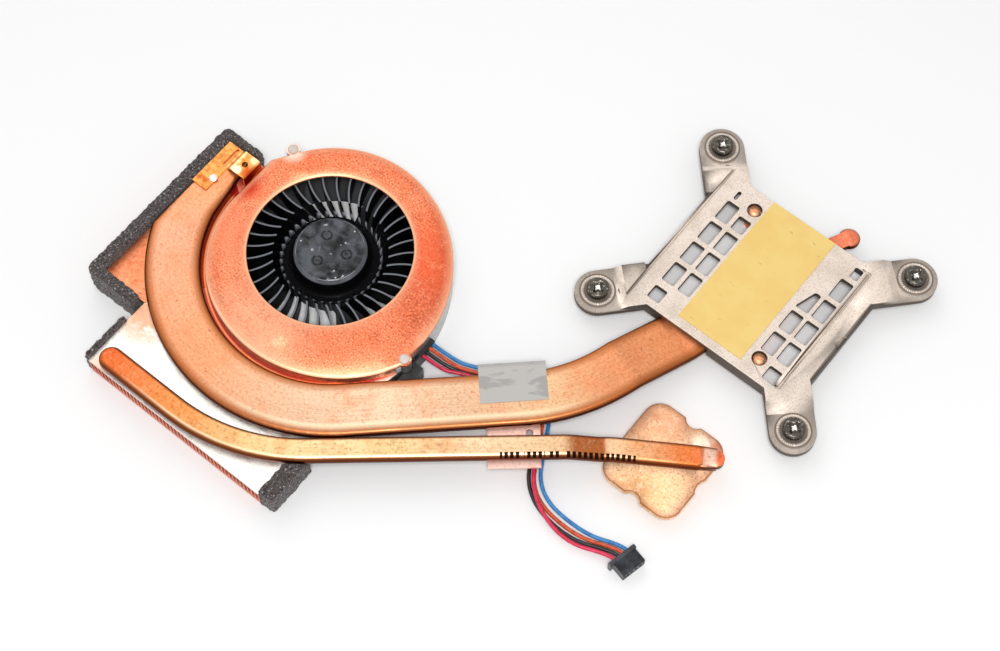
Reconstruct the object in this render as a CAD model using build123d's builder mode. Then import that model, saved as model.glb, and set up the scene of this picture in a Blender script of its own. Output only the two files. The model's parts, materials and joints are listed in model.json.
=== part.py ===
from build123d import *
import os
from math import acos, cos, degrees, radians, sin, tan

# Laptop cooling fan heatsink. Millimetres, +Z up, origin on the fan's axis at the plane it stands on.

# Levels of the fan and the ducts
cover_top = 10.0
cover_sheet = 0.8
duct_height = 6.0
plate_sheet = 0.6
base_floor = 0.8
base_wall = 0.9
base_inset = 0.3
fit_gap = 0.05

# Fan cover outline, seen from above
intake_radius = 21.0
crown_radius = 29.35
crown_end_angle = 145.0
volute_lead_angle = 80.0
volute_radius = 35.5
low_center = (2.5, 2.25)
low_radius = 35.3
low_end_angle = -110.7
left_edge = -28.5
left_edge_low = -3.0
left_edge_high = 10.0
ear_inset = 0.63
ear_lift = 1.3
ear_angle = 148.9
ear_out = 1.0
ear_radius = 1.75
lip_bevel = 0.3
shoulder_bevel = 0.5

# Rivets that hold the cover on the base
rivet_radius = 1.0
rivet_head_radius = 1.35
rivet_head = 0.6
rivet_depth = 2.5

# Impeller
blade_count = 37
blade_tip = 25.4
blade_root = 11.6
blade_bend = 21.0
blade_camber = 17.0
blade_thick = 0.45
blade_low = 2.2
blade_drop = 1.8
blade_slope = 3.0
blade_undercut = 2.5
hub_top_radius = 9.2
hub_skirt_radius = 10.0
hub_bevel = 0.7
hub_wall = 0.8
hub_drop = 0.2
flange_radius = 12.2
flange_level = 4.2
flange_thick = 0.8
dimple_ring = 4.3
dimple_radius = 1.7
dimple_pin = 0.8
dimple_depth = 0.35
dimple_count = 3
dimple_turn_angle = 22.0
dot_ring = 7.9
dot_radius = 0.4
dot_turn_angle = 80.0

# Motor
shaft_radius = 1.0
bearing_radius = 2.0
bearing_running_gap = 0.02
boss_radius = 3.2
boss_height = 5.6
yoke_wall = 0.5
magnet_wall = 1.0
magnet_height = 4.0
air_gap = 0.35
pole_count = 4
pole_width = 2.6
core_height = 1.8
core_level = 3.6
coil_thick = 0.8
board_thick = 0.7
board_radius = 8.4
vent_inner = 12.5
vent_outer = 19.0
vent_arc_angle = 88.0
vent_turn_angle = 30.0
vent_count = 3

# Fin stacks and foam seals
fin_thick = 0.3
fin_pitch = 1.2
fin_floor = 0.4
stack_a_left = -44.0
stack_a_right = -31.5
stack_a_low = -39.2
stack_a_high = 8.4
stack_b_left = -27.3
stack_b_right = 28.2
stack_b_low = -59.3
stack_b_high = -45.3
foam_a_strip = 3.5
foam_a_high_thick = 1.8
foam_a_low_thick = 3.0
foam_b_left_thick = 1.4
foam_b_right_thick = 4.4
foam_rise = 3.0
foam_b_rise = 1.8
foam_pipe_gap = 0.3
foam_round = 1.6

# Wide pipe to the processor
wide_width = 14.0
wide_thick = 2.7
wide_center = (2.5, -1.15)
wide_arc = 40.6
wide_run_angle = 43.0
wide_corner = (71.4, 7.6)
wide_bend = 49.0
wide_last_angle = 72.5
wide_reach = 73.5
wide_drop = 4.1
wide_ramp_start = 15.0
wide_ramp_length = 16.0
wide_ramp_round = 8.0
wide_end_left = -40.3
wide_end_right = -33.0
wide_end_top = 7.4
wide_taper_angle = 196.0
wide_round = 1.2
wide_taper = 5.0
wide_tip_width = 5.0
wide_neck_width = 4.0
wide_knob_ahead = 10.9
wide_knob_side = 1.7
wide_knob_radius = 2.75
wide_knob_thick = 2.0
wide_knob_bevel = 0.6

# Narrow pipe to the graphics chip
narrow_width = 6.2
narrow_thick = 3.0
narrow_start = (-22.4, -55.9)
narrow_run_angle = 39.95
narrow_corner = (86.6, 2.95)
narrow_first_bend = 51.0
narrow_last_angle = 32.9
narrow_last_run = 21.0
narrow_last_bend = 24.0
narrow_drop = 2.0
narrow_ramp_end = -2.5
narrow_ramp_length = 8.0
narrow_ramp_round = 6.0
narrow_round = 1.35
narrow_taper_angle = 60.0
narrow_crimp_length = 4.5
narrow_crimp_root = 5.6
narrow_crimp_end = 5.0
narrow_crimp_thick = 2.0
narrow_nub = (1.9, 2.1)

# Length of a cut that runs past every piece
cut_reach = 300.0

# Plates under the pipes
block_thick = 2.5
block_width = 20.0
block_depth = 38.0
stud_point = (12.5, 16.4)
stud_radius = 1.6
stud_gap = 0.4
stud_ear = 1.9
gpu_ahead = 11.1
gpu_side = 6.35
gpu_width = 22.3
gpu_depth = 24.9
gpu_thick = 1.5
gpu_corner = 4.5
gpu_notch = 2.6
gpu_end_notch = 3.38
bridge_back = 23.4
bridge_side = 3.16
bridge_length = 12.9
bridge_depth = 15.4
bridge_thick = 0.8
bridge_hole = 0.9
bridge_hole_point = (3.8, 1.3)

# Cast bracket, measured from the middle of its four screws
bracket_setback = 17.389
bracket_side = 0.286
screw_spacing_x = 60.0
screw_spacing_y = 53.0
plate_left = -24.6
plate_right = 26.1
plate_low = -22.1
plate_high = 21.5
lid_thick = 1.6
skirt_wall = 1.2
rail_bevel = 0.9
arm_top_step = 1.2
arm_thick = 2.2
arm_width = 11.6
arm_length = 15.0
arm_angle = 47.0
arm_ramp_start = 4.7
arm_ramp_length = 2.3
arm_ramp_end = 13.0
collar_radius = 4.6
collar_rise = 0.6
recess_radius = 3.4
recess_floor = 0.9
window_columns = (-17.6, -12.7, 12.9, 17.6)
window_rows = (11.5, 4.0, -3.5, -11.0)
slant_column = 12.9
window_width = 3.7
window_height = 6.2
short_window_height = 4.4
slant_window = ((11.0, 0.9), (14.75, 0.9), (14.75, 7.1), (13.0, 7.1))
small_slot_point = (-18.4, 17.1)
small_slot_size = (1.0, 2.8)
arch_slot_point = (18.0, 17.7)
arch_slot_size = (2.4, 3.4)
ledge_notch_radius = 2.2
ledge_notch_depth = 1.2
half_window_point = (17.6, -18.2)
half_window_height = 4.0
groove_width = 0.8
groove_depth = 0.9
groove_left = -23.6
groove_right = 20.8
groove_length = 40.0
groove_hook = 2.4
channel_gap = 0.15
pad_width = 19.0
pad_depth = 41.0
pad_thick = 0.25
pad_point = (-0.5, 0.9)

# Captive screws and their retaining rings
screw_radius = 1.25
screw_neck_radius = 0.8
screw_hole_gap = 0.1
screw_head_radius = 2.8
screw_head_height = 1.6
screw_travel = 2.2
screw_slot_width = 0.8
screw_slot_depth = 0.7
screw_slot_length = 3.64
ring_groove_depth = 0.2
ring_groove_spare = 0.6
ring_radius = 2.4
ring_thick = 0.5
ring_gap = 0.15
ring_running_gap = 0.05
ring_mouth = 1.0

# Brass clip over the end of the wide pipe
clip_sheet = 0.4
clip_low = -7.0
clip_plate_right = -35.6
clip_block_low = 1.0
clip_block_right = -29.6
clip_rise = 1.1
clip_slot = 0.7
clip_hole_point = (-32.3, 4.3)
clip_hole_radius = 0.8
clip_rivet_point = (-36.4, -3.3)
clip_rivet_radius = 1.1
clip_rivet_height = 0.35

# Wiring
wire_radius = 0.5
wire_count = 4
wire_gate_lead = 6.5
wire_plug_lead = 1.6
wire_round_share = 0.45
gate_depth = 0.9
gate_low = 3.0
gate_high = 5.6
gate_y = (-8.0, -1.4)
gate_block_x = 3.0
gate_block_back = 5.5
gate_block_ahead = 2.5
connector_point = (104.1, -15.5)
connector_turn_angle = -13.0
connector_flange = 1.0
connector_flange_width = 7.9
connector_flange_height = 3.8
connector_flange_shift = 0.3
connector_body = 3.7
connector_width = 6.6
connector_height = 3.4
connector_pitch = 1.25
contact_slot = 0.8
contact_thick = 0.3
contact_depth = 2.6
tape_thick = 0.15
tape_center = (58.3, 0.4)
tape_length = 16.6
tape_half_in = 4.7
tape_overhang = 1.2
tape_drop = 2.4

# Each wire's place in the gate as (y, z), then the corners of its route as (x, y, z)
wire_routes = {
    "blue": (
        (-2.1, 4.3), (46.4, -1.0, 4.9), (65.2, 8.6, 4.2), (72.4, -4.4, 3.0), (78.8, -15.9, 1.9), (93.6, -16.8, 0.9),
    ),
    "orange": (
        (-3.4, 4.3), (46.8, -2.1, 4.5), (64.2, 6.9, 4.3), (71.6, -5.9, 1.9), (77.6, -16.9, 0.8), (92.2, -18.6, 0.7),
    ),
    "black": (
        (-4.7, 4.3), (45.8, -2.4, 2.6), (63.4, 5.5, 2.6), (70.4, -7.0, 2.4), (76.9, -17.8, 1.0), (91.2, -20.2, 0.6),
    ),
    "pink": (
        (-6.0, 4.3), (44.4, -4.0, 3.9), (62.8, 4.0, 3.7), (71.4, -6.2, 3.5), (77.8, -17.2, 2.3), (91.0, -21.6, 1.4),
    ),
}

# Levels and places that follow from the sizes above
seat = duct_height + plate_sheet
cover_under = cover_top - cover_sheet
side_edge = volute_radius + (crown_radius - volute_radius) * cos(radians(volute_lead_angle))
side_low = low_center[1] - low_radius * sin(acos((side_edge - low_center[0]) / low_radius))
wide_low_seat = seat - wide_drop
bracket_top = wide_low_seat + wide_thick + lid_thick
bracket_floor = wide_low_seat
arm_top = bracket_top - arm_top_step
arm_under = arm_top - arm_thick
collar_top = arm_top + collar_rise
head_seat = arm_under + recess_floor
head_under = head_seat + screw_travel
gpu_level = seat - narrow_drop
ear_points = (
    (side_edge - ear_inset, side_low + ear_lift),
    (
        (crown_radius + ear_out) * cos(radians(ear_angle)),
        (crown_radius + ear_out) * sin(radians(ear_angle)),
    ),
)
half = wide_width / 2
last = radians(wide_last_angle)
run = radians(wide_run_angle)
turn = radians(wide_last_angle - wide_run_angle)
wide_along = Vector(cos(last), sin(last))
wide_across = Vector(-sin(last), cos(last))
wide_tip_point = Vector(*wide_corner) + wide_along * wide_reach
bracket_middle = wide_tip_point - wide_along * bracket_setback + wide_across * bracket_side
bracket_center = (bracket_middle.X, bracket_middle.Y)
narrow_run = radians(narrow_run_angle)
narrow_last = radians(narrow_last_angle)
gpu_center = (narrow_corner[0] + gpu_ahead, narrow_corner[1] + gpu_side)
bridge_center = (
    narrow_corner[0] - bridge_back * cos(narrow_run) - bridge_side * sin(narrow_run),
    narrow_corner[1] - bridge_back * sin(narrow_run) + bridge_side * cos(narrow_run),
)

os.makedirs("parts", exist_ok=True)


def save(piece, label):
    """Name a finished piece and write it to a file of its own."""
    piece.part.label = label
    export_step(piece.part, f"parts/{label}.step")


def run_plane(point, angle):
    """Upright plane whose X runs along a pipe at an angle and whose Y is up."""
    along = radians(angle)
    return Plane((point[0], point[1], 0), x_dir=(cos(along), sin(along), 0), z_dir=(sin(along), -cos(along), 0))


def rim(part):
    """Edges where the upright sides of a pipe meet its flat faces."""
    sides = part.faces().filter_by(lambda face: abs(face.normal_at().Z) < 0.2)
    edges = [edge for face in sides for edge in face.edges() if abs((edge % 0.5).Z) < 0.8]
    return ShapeList(edges)


# Outlines that several pieces share

with BuildSketch() as fan_outline:
    with BuildLine():
        crown = CenterArc((0, 0), crown_radius, volute_lead_angle, crown_end_angle - volute_lead_angle)
        lead = radians(volute_lead_angle)
        volute_shift = crown_radius - volute_radius
        volute = CenterArc((volute_shift * cos(lead), volute_shift * sin(lead)), volute_radius, 0, volute_lead_angle)
        low_start = -degrees(acos((side_edge - low_center[0]) / low_radius))
        low = CenterArc(low_center, low_radius, low_start, low_end_angle - low_start)
        Line(volute @ 0, low @ 0)
        TangentArc(low @ 1, (left_edge, left_edge_low), tangent=low % 1)
        Polyline((left_edge, left_edge_low), (left_edge, left_edge_high), crown @ 1)
    make_face()

with BuildSketch() as outlet_side:
    Polygon(
        (-2 * crown_radius, stack_a_high), (0, stack_a_high), (0, side_low - ear_radius),
        (3 * crown_radius, side_low - ear_radius), (3 * crown_radius, 2 * stack_b_low),
        (-2 * crown_radius, 2 * stack_b_low), align=None,
    )

with BuildSketch() as duct_floor:
    Polygon(
        (0, stack_a_high), (stack_a_right, stack_a_high), (stack_a_right, stack_a_low),
        (stack_b_left, stack_a_low), (stack_b_left, stack_b_high), (stack_b_right, stack_b_high),
        (side_edge - base_inset, side_low), align=None,
    )

with BuildSketch() as base_outline:
    offset(fan_outline.sketch, amount=-base_inset, mode=Mode.ADD)
    add(duct_floor.sketch)

with BuildSketch() as base_hollow:
    offset(fan_outline.sketch, amount=-base_inset - base_wall, mode=Mode.ADD)
    offset(duct_floor.sketch, amount=-base_wall, kind=Kind.INTERSECTION, mode=Mode.ADD)

with BuildSketch() as duct_outline:
    Polygon(
        (0, stack_a_high), (stack_a_left, stack_a_high), (stack_a_left, stack_a_low),
        (stack_b_left, stack_a_low), (stack_b_left, stack_b_low), (stack_b_right, stack_b_low),
        (stack_b_right, stack_b_high), (side_edge - base_inset, side_low), align=None,
    )
    offset(fan_outline.sketch, amount=-2 * cover_sheet, mode=Mode.SUBTRACT)
    add(outlet_side.sketch, mode=Mode.INTERSECT)

with BuildSketch() as vent_plan:
    with BuildLine():
        inner_edge = CenterArc((0, 0), vent_inner, -vent_arc_angle / 2, vent_arc_angle)
        outer_edge = CenterArc((0, 0), vent_outer, -vent_arc_angle / 2, vent_arc_angle)
        Line(inner_edge @ 0, outer_edge @ 0)
        Line(inner_edge @ 1, outer_edge @ 1)
    make_face()

# Fan base: pressed tray with duct walls, bearing boss and lower intakes

with BuildPart() as fan_base:
    with BuildSketch():
        add(base_outline.sketch)
        with Locations(*ear_points):
            Circle(ear_radius)
    extrude(amount=base_floor)
    with BuildSketch(Plane.XY.offset(base_floor)):
        add(base_outline.sketch)
        add(base_hollow.sketch, mode=Mode.SUBTRACT)
    extrude(amount=duct_height - base_floor)
    with BuildSketch(Plane.XY.offset(base_floor)):
        offset(fan_outline.sketch, amount=-base_inset, mode=Mode.ADD)
        offset(fan_outline.sketch, amount=-base_inset - base_wall, mode=Mode.SUBTRACT)
        add(outlet_side.sketch, mode=Mode.SUBTRACT)
        with Locations(*ear_points):
            Circle(ear_radius)
    extrude(amount=cover_under - base_floor)
    with BuildSketch(Plane.XY.offset(base_floor)):
        with Locations(((stack_a_right + base_wall), (stack_a_low + stack_a_high) / 2)):
            Rectangle(4 * base_wall, stack_a_high - stack_a_low - 2 * base_wall)
        with Locations(((stack_b_left + stack_b_right) / 2, stack_b_high + base_wall)):
            Rectangle(stack_b_right - stack_b_left - 2 * base_wall, 4 * base_wall)
    extrude(amount=duct_height - base_floor, mode=Mode.SUBTRACT)
    with BuildSketch(Plane.XY.offset(base_floor)):
        Circle(intake_radius + blade_thick)
    extrude(amount=cover_under, mode=Mode.SUBTRACT)
    with BuildSketch():
        with PolarLocations(0, vent_count, start_angle=vent_turn_angle):
            add(vent_plan.sketch)
    extrude(amount=base_floor, mode=Mode.SUBTRACT)
    with BuildSketch(Plane.XY.offset(base_floor)):
        Circle(boss_radius)
        Circle(bearing_radius + fit_gap, mode=Mode.SUBTRACT)
    extrude(amount=boss_height - base_floor)
    with BuildSketch(Plane.XY.offset(gate_low)):
        with Locations((side_edge - base_inset, sum(gate_y) / 2)):
            Rectangle(4 * base_wall, gate_y[1] - gate_y[0])
    extrude(amount=gate_high - gate_low, mode=Mode.SUBTRACT)
    with BuildSketch(Plane.XY.offset(cover_under)):
        with Locations(*ear_points):
            Circle(rivet_radius + fit_gap)
    extrude(amount=-rivet_depth, mode=Mode.SUBTRACT)
save(fan_base, "fan_base")

# Fan cover: drawn copper sheet, its skirt standing on the duct plates

with BuildPart() as fan_cover:
    with BuildSketch(Plane.XY.offset(cover_under)):
        add(fan_outline.sketch)
    extrude(amount=cover_sheet)
    chamfer(fan_cover.faces().sort_by(Axis.Z)[-1].edges(), length=shoulder_bevel)
    with BuildSketch(Plane.XY.offset(cover_under)):
        with Locations(*ear_points):
            Circle(ear_radius)
    extrude(amount=cover_sheet)
    with BuildSketch(Plane.XY.offset(seat)):
        add(fan_outline.sketch)
        offset(fan_outline.sketch, amount=-cover_sheet, mode=Mode.SUBTRACT)
        add(outlet_side.sketch, mode=Mode.INTERSECT)
    extrude(amount=cover_under - seat)
    with BuildSketch(Plane.XY.offset(cover_under)):
        Circle(intake_radius)
        with Locations(*ear_points):
            Circle(rivet_radius + fit_gap)
    extrude(amount=cover_sheet, mode=Mode.SUBTRACT)
    top_rims = fan_cover.edges().filter_by(GeomType.CIRCLE).group_by(Axis.Z)[-1]
    chamfer(top_rims.filter_by(lambda edge: edge.radius == intake_radius), length=lip_bevel)
save(fan_cover, "fan_cover")

with BuildPart() as cover_rivets:
    with Locations(*[(x, y, cover_top - cover_sheet - rivet_depth) for x, y in ear_points]):
        Cylinder(
            rivet_radius, rivet_depth + cover_sheet, align=(Align.CENTER, Align.CENTER, Align.MIN)
        )
    with Locations(*[(x, y, cover_top) for x, y in ear_points]):
        Cylinder(rivet_head_radius, rivet_head, align=(Align.CENTER, Align.CENTER, Align.MIN))
    chamfer(cover_rivets.edges().group_by(Axis.Z)[-1], length=rivet_head / 2)
save(cover_rivets, "cover_rivets")

# Wire gate: plastic plug in the tray's wall, with the corner block below it

gate_inner = side_edge - base_inset - base_wall
gate_outer = side_edge - base_inset + gate_depth
gate_block_y = (ear_points[0][1] - gate_block_back, ear_points[0][1] + gate_block_ahead)
with BuildPart() as wire_gate:
    with BuildSketch(Plane.XY.offset(gate_low + fit_gap)):
        with Locations((gate_inner, gate_y[0] + fit_gap)):
            Rectangle(gate_outer - gate_inner, gate_y[1] - gate_y[0] - 2 * fit_gap, align=Align.MIN)
    extrude(amount=gate_high - gate_low - 2 * fit_gap)
    with BuildSketch():
        with Locations((gate_outer - gate_depth / 2, gate_block_y[0])):
            Rectangle(gate_depth / 2, sum(gate_y) / 2 - gate_block_y[0], align=Align.MIN)
            Rectangle(gate_block_x, gate_block_y[1] - gate_block_y[0], align=Align.MIN)
        with Locations(ear_points[0]):
            Circle(ear_radius + 2 * fit_gap, mode=Mode.SUBTRACT)
    extrude(amount=gate_high - fit_gap)
save(wire_gate, "wire_gate")

# Impeller: cupped hub with a flange that carries the curved blades

hub_top = cover_top - hub_drop
blade_top = cover_top - blade_drop
with BuildSketch() as blade_plan:
    with BuildLine() as camber:
        root_turn = degrees(acos(1 - 0.5 * ((blade_bend - blade_root) / blade_camber) ** 2))
        curve = CenterArc((blade_bend, -blade_camber), blade_camber, 90, root_turn)
        Line(curve @ 0, (blade_tip, 0))
    trace(camber.line, line_width=blade_thick)

with BuildPart() as impeller:
    with BuildSketch(Plane.XZ):
        with BuildLine():
            Polyline(
                (0, hub_top), (hub_top_radius - hub_bevel, hub_top), (hub_top_radius, hub_top - hub_bevel),
                (hub_skirt_radius, flange_level + flange_thick / 2), (flange_radius, flange_level),
                (flange_radius, flange_level - flange_thick), (hub_skirt_radius - hub_wall, flange_level - flange_thick),
                (hub_top_radius - hub_wall, hub_top - hub_wall), (0, hub_top - hub_wall), close=True,
            )
        make_face()
    revolve(axis=Axis.Z)
    with BuildSketch(Plane.XY.offset(blade_low)):
        with PolarLocations(0, blade_count):
            add(blade_plan.sketch)
    extrude(amount=blade_top - blade_low)
    with BuildSketch(Plane.XZ):
        with BuildLine():
            Polyline(
                (hub_skirt_radius + fit_gap, flange_level + flange_thick), (flange_radius, flange_level + flange_thick),
                (blade_root + blade_slope, blade_top), (hub_skirt_radius + fit_gap, blade_top), close=True,
            )
        make_face()
    revolve(axis=Axis.Z, mode=Mode.SUBTRACT)
    with BuildSketch(Plane.XZ):
        with BuildLine():
            Polyline(
                (blade_root - blade_undercut, blade_low), (flange_radius, blade_low), (flange_radius, flange_level - flange_thick),
                (blade_root - blade_undercut, flange_level - flange_thick), close=True,
            )
        make_face()
    revolve(axis=Axis.Z, mode=Mode.SUBTRACT)
    with BuildSketch(Plane.XY.offset(hub_top)):
        with PolarLocations(dimple_ring, dimple_count, start_angle=dimple_turn_angle):
            Circle(dimple_radius)
            Circle(dimple_pin, mode=Mode.SUBTRACT)
        with PolarLocations(dot_ring, dimple_count, start_angle=dot_turn_angle):
            Circle(dot_radius)
    extrude(amount=-dimple_depth, mode=Mode.SUBTRACT)
save(impeller, "impeller")

# Motor inside the hub

yoke_radius = hub_top_radius - hub_wall - fit_gap
yoke_top = hub_top - hub_wall
yoke_low = flange_level - flange_thick
magnet_radius = yoke_radius - yoke_wall - fit_gap
pole_radius = magnet_radius - magnet_wall - air_gap
with BuildPart() as rotor_yoke:
    with BuildSketch(Plane.XY.offset(yoke_low)):
        Circle(yoke_radius)
    extrude(amount=yoke_top - yoke_low)
    with BuildSketch(Plane.XY.offset(yoke_low)):
        Circle(yoke_radius - yoke_wall)
    extrude(amount=yoke_top - yoke_low - yoke_wall, mode=Mode.SUBTRACT)
    with BuildSketch(Plane.XY.offset(yoke_low)):
        Circle(shaft_radius + fit_gap)
    extrude(amount=yoke_top - yoke_low, mode=Mode.SUBTRACT)
save(rotor_yoke, "rotor_yoke")

with BuildPart() as rotor_magnet:
    with BuildSketch(Plane.XY.offset(yoke_low)):
        Circle(magnet_radius)
        Circle(magnet_radius - magnet_wall, mode=Mode.SUBTRACT)
    extrude(amount=magnet_height)
save(rotor_magnet, "rotor_magnet")

with BuildPart() as motor_shaft:
    with BuildSketch(Plane.XY.offset(base_floor + fit_gap)):
        Circle(shaft_radius)
    extrude(amount=yoke_top - base_floor - fit_gap)
save(motor_shaft, "motor_shaft")

with BuildPart() as sleeve_bearing:
    with BuildSketch(Plane.XY.offset(base_floor + fit_gap)):
        Circle(bearing_radius)
        Circle(shaft_radius + bearing_running_gap, mode=Mode.SUBTRACT)
    extrude(amount=boss_height - base_floor - fit_gap)
save(sleeve_bearing, "sleeve_bearing")

with BuildPart() as stator_core:
    with BuildSketch(Plane.XY.offset(core_level)):
        Circle(pole_radius)
        Circle(pole_radius - coil_thick, mode=Mode.SUBTRACT)
        with PolarLocations(0, pole_count, start_angle=180 / pole_count):
            with Locations((pole_radius, 0)):
                Rectangle(pole_radius, coil_thick, mode=Mode.SUBTRACT)
        Circle(boss_radius + fit_gap + coil_thick)
        with PolarLocations((boss_radius + pole_radius) / 2, pole_count):
            Rectangle(pole_radius - boss_radius - fit_gap, pole_width / 2)
        Circle(boss_radius + fit_gap, mode=Mode.SUBTRACT)
    extrude(amount=core_height)
save(stator_core, "stator_core")

with BuildPart() as stator_coils:
    coil_in = boss_radius + fit_gap + coil_thick + fit_gap
    coil_out = pole_radius - coil_thick - 4 * fit_gap
    with PolarLocations((coil_in + coil_out) / 2, pole_count):
        with Locations((0, 0, core_level + core_height / 2)):
            Box(coil_out - coil_in, pole_width, core_height + coil_thick)
            Box(
                coil_out - coil_in, pole_width / 2 + 2 * fit_gap, core_height + 2 * fit_gap, mode=Mode.SUBTRACT
            )
save(stator_coils, "stator_coils")

with BuildPart() as motor_board:
    with BuildSketch(Plane.XY.offset(base_floor)):
        Circle(board_radius)
        Circle(boss_radius + fit_gap, mode=Mode.SUBTRACT)
    extrude(amount=board_thick)
save(motor_board, "motor_board")

# Fin stacks: zipped fins whose folded edges close the stack above and below

stack_mid = (fin_floor + duct_height) / 2
stack_height = duct_height - fin_floor
with BuildPart() as fin_stack_a:
    length_a = stack_a_high - stack_a_low
    with BuildSketch(Plane.YZ.offset(stack_a_left)):
        with Locations(((stack_a_low + stack_a_high) / 2, stack_mid)):
            Rectangle(length_a, stack_height)
            with GridLocations(fin_pitch, 1, int((length_a - fin_thick) / fin_pitch), 1):
                Rectangle(fin_pitch - fin_thick, stack_height - 2 * fin_thick, mode=Mode.SUBTRACT)
    extrude(amount=stack_a_right - stack_a_left)
save(fin_stack_a, "fin_stack_a")

with BuildPart() as fin_stack_b:
    length_b = stack_b_right - stack_b_left
    with BuildSketch(Plane.XZ.offset(-stack_b_low)):
        with Locations(((stack_b_left + stack_b_right) / 2, stack_mid)):
            Rectangle(length_b, stack_height)
            with GridLocations(fin_pitch, 1, int((length_b - fin_thick) / fin_pitch), 1):
                Rectangle(fin_pitch - fin_thick, stack_height - 2 * fin_thick, mode=Mode.SUBTRACT)
    extrude(amount=stack_b_low - stack_b_high)
save(fin_stack_b, "fin_stack_b")

seam = Plane((0, 0, 0), x_dir=(stack_b_left, stack_a_low, 0), z_dir=(stack_a_low, -stack_b_left, 0))
with BuildPart() as top_plate_a:
    with BuildSketch(Plane.XY.offset(duct_height)):
        add(duct_outline.sketch)
    extrude(amount=plate_sheet)
    split(bisect_by=seam.offset(fit_gap), keep=Keep.TOP)
save(top_plate_a, "top_plate_a")

with BuildPart() as top_plate_b:
    with BuildSketch(Plane.XY.offset(duct_height)):
        add(duct_outline.sketch)
    extrude(amount=plate_sheet)
    split(bisect_by=seam.offset(-fit_gap), keep=Keep.BOTTOM)
save(top_plate_b, "top_plate_b")

# Foam seals round the outlets

with BuildPart() as foam_a:
    foam_top = seat + foam_rise
    with BuildSketch(Plane.XY.offset(seat)):
        with Locations((stack_a_left + foam_a_strip / 2, (stack_a_low + stack_a_high) / 2)):
            Rectangle(foam_a_strip, stack_a_high - stack_a_low)
    extrude(amount=foam_rise)
    with BuildSketch():
        with Locations((stack_a_left, stack_a_high)):
            Rectangle(stack_a_right - stack_a_left, foam_a_high_thick, align=Align.MIN)
        with Locations((stack_a_left, stack_a_low - foam_a_low_thick)):
            Rectangle(stack_b_left - foam_b_left_thick - stack_a_left, foam_a_low_thick, align=Align.MIN)
    extrude(amount=foam_top)
    corners = foam_a.edges().filter_by(Axis.Z).group_by(Axis.X)[0]
    fillet(corners.sort_by(Axis.Y)[0], radius=foam_round)
    fillet(foam_a.edges().filter_by(Axis.Z).sort_by(Axis.Y)[-2:].sort_by(Axis.X)[0], radius=foam_round)
save(foam_a, "foam_a")

with BuildPart() as foam_b_left:
    with BuildSketch():
        with Locations((stack_b_left - foam_b_left_thick, stack_b_low)):
            Rectangle(foam_b_left_thick, stack_b_high - stack_b_low, align=Align.MIN)
    extrude(amount=seat + foam_b_rise)
save(foam_b_left, "foam_b_left")

# Wide pipe: flattened tube, its plan cut by a side profile that steps down to the processor block

arc_end = wide_run_angle - 90
bend_center = (
    Vector(*wide_corner) + wide_along * (wide_bend * tan(turn / 2)) + wide_across * wide_bend
)
knob_point = wide_tip_point + wide_along * wide_knob_ahead - wide_across * wide_knob_side
knob_level = wide_low_seat + (wide_thick - wide_knob_thick) / 2
with BuildPart() as wide_knob:
    with BuildSketch(Plane.XY.offset(knob_level)):
        with Locations((knob_point.X, knob_point.Y)):
            Circle(wide_knob_radius)
    extrude(amount=wide_knob_thick)
    chamfer(wide_knob.edges().filter_by(GeomType.CIRCLE), length=wide_knob_bevel)

with BuildPart() as pipe_cpu:
    with BuildSketch():
        with BuildLine():
            inside = CenterArc(wide_center, wide_arc - half, wide_taper_angle, 360 + arc_end - wide_taper_angle)
            reach = degrees(acos((wide_center[0] - wide_end_left) / (wide_arc + half)))
            outside = CenterArc(wide_center, wide_arc + half, 180 + reach, 180 + arc_end - reach)
            bend_in = CenterArc(bend_center, wide_bend - half, arc_end, wide_last_angle - wide_run_angle)
            bend_out = CenterArc(bend_center, wide_bend + half, arc_end, wide_last_angle - wide_run_angle)
            Line(inside @ 1, bend_in @ 0)
            Line(outside @ 1, bend_out @ 0)
            far_in = wide_tip_point + wide_across * half
            far_out = wide_tip_point - wide_across * half
            neck_in = wide_tip_point + wide_along * wide_taper + wide_across * (wide_tip_width / 2)
            neck_out = wide_tip_point + wide_along * wide_taper - wide_across * (wide_tip_width / 2)
            Polyline(bend_in @ 1, far_in, neck_in, neck_out, far_out, bend_out @ 1)
            Polyline(
                inside @ 0, (wide_end_right, wide_end_top), (wide_end_left, wide_end_top), outside @ 0
            )
        make_face()
    extrude(amount=seat + 2 * wide_thick)
    with BuildSketch(run_plane(wide_corner, wide_last_angle)):
        with BuildLine() as wide_side:
            high = seat + wide_thick / 2
            ramp_end = wide_ramp_start + wide_ramp_length
            FilletPolyline(
                (-cut_reach, high), (wide_ramp_start, high), (ramp_end, high - wide_drop),
                (cut_reach, high - wide_drop), radius=wide_ramp_round,
            )
        trace(wide_side.line, line_width=wide_thick)
    extrude(amount=cut_reach, both=True, mode=Mode.INTERSECT)
    fillet(rim(pipe_cpu.part), radius=wide_round)
    with BuildSketch(Plane.XY.offset(knob_level)):
        side_step = wide_across * (wide_neck_width / 2)
        neck = [wide_tip_point + side_step, wide_tip_point - side_step, knob_point - side_step, knob_point + side_step]
        Polygon(*[(corner.X, corner.Y) for corner in neck], align=None)
    extrude(amount=wide_knob_thick)
    add(wide_knob.part)
save(pipe_cpu, "pipe_cpu")

# Narrow pipe: the same build, stepping down to the small plate

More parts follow.
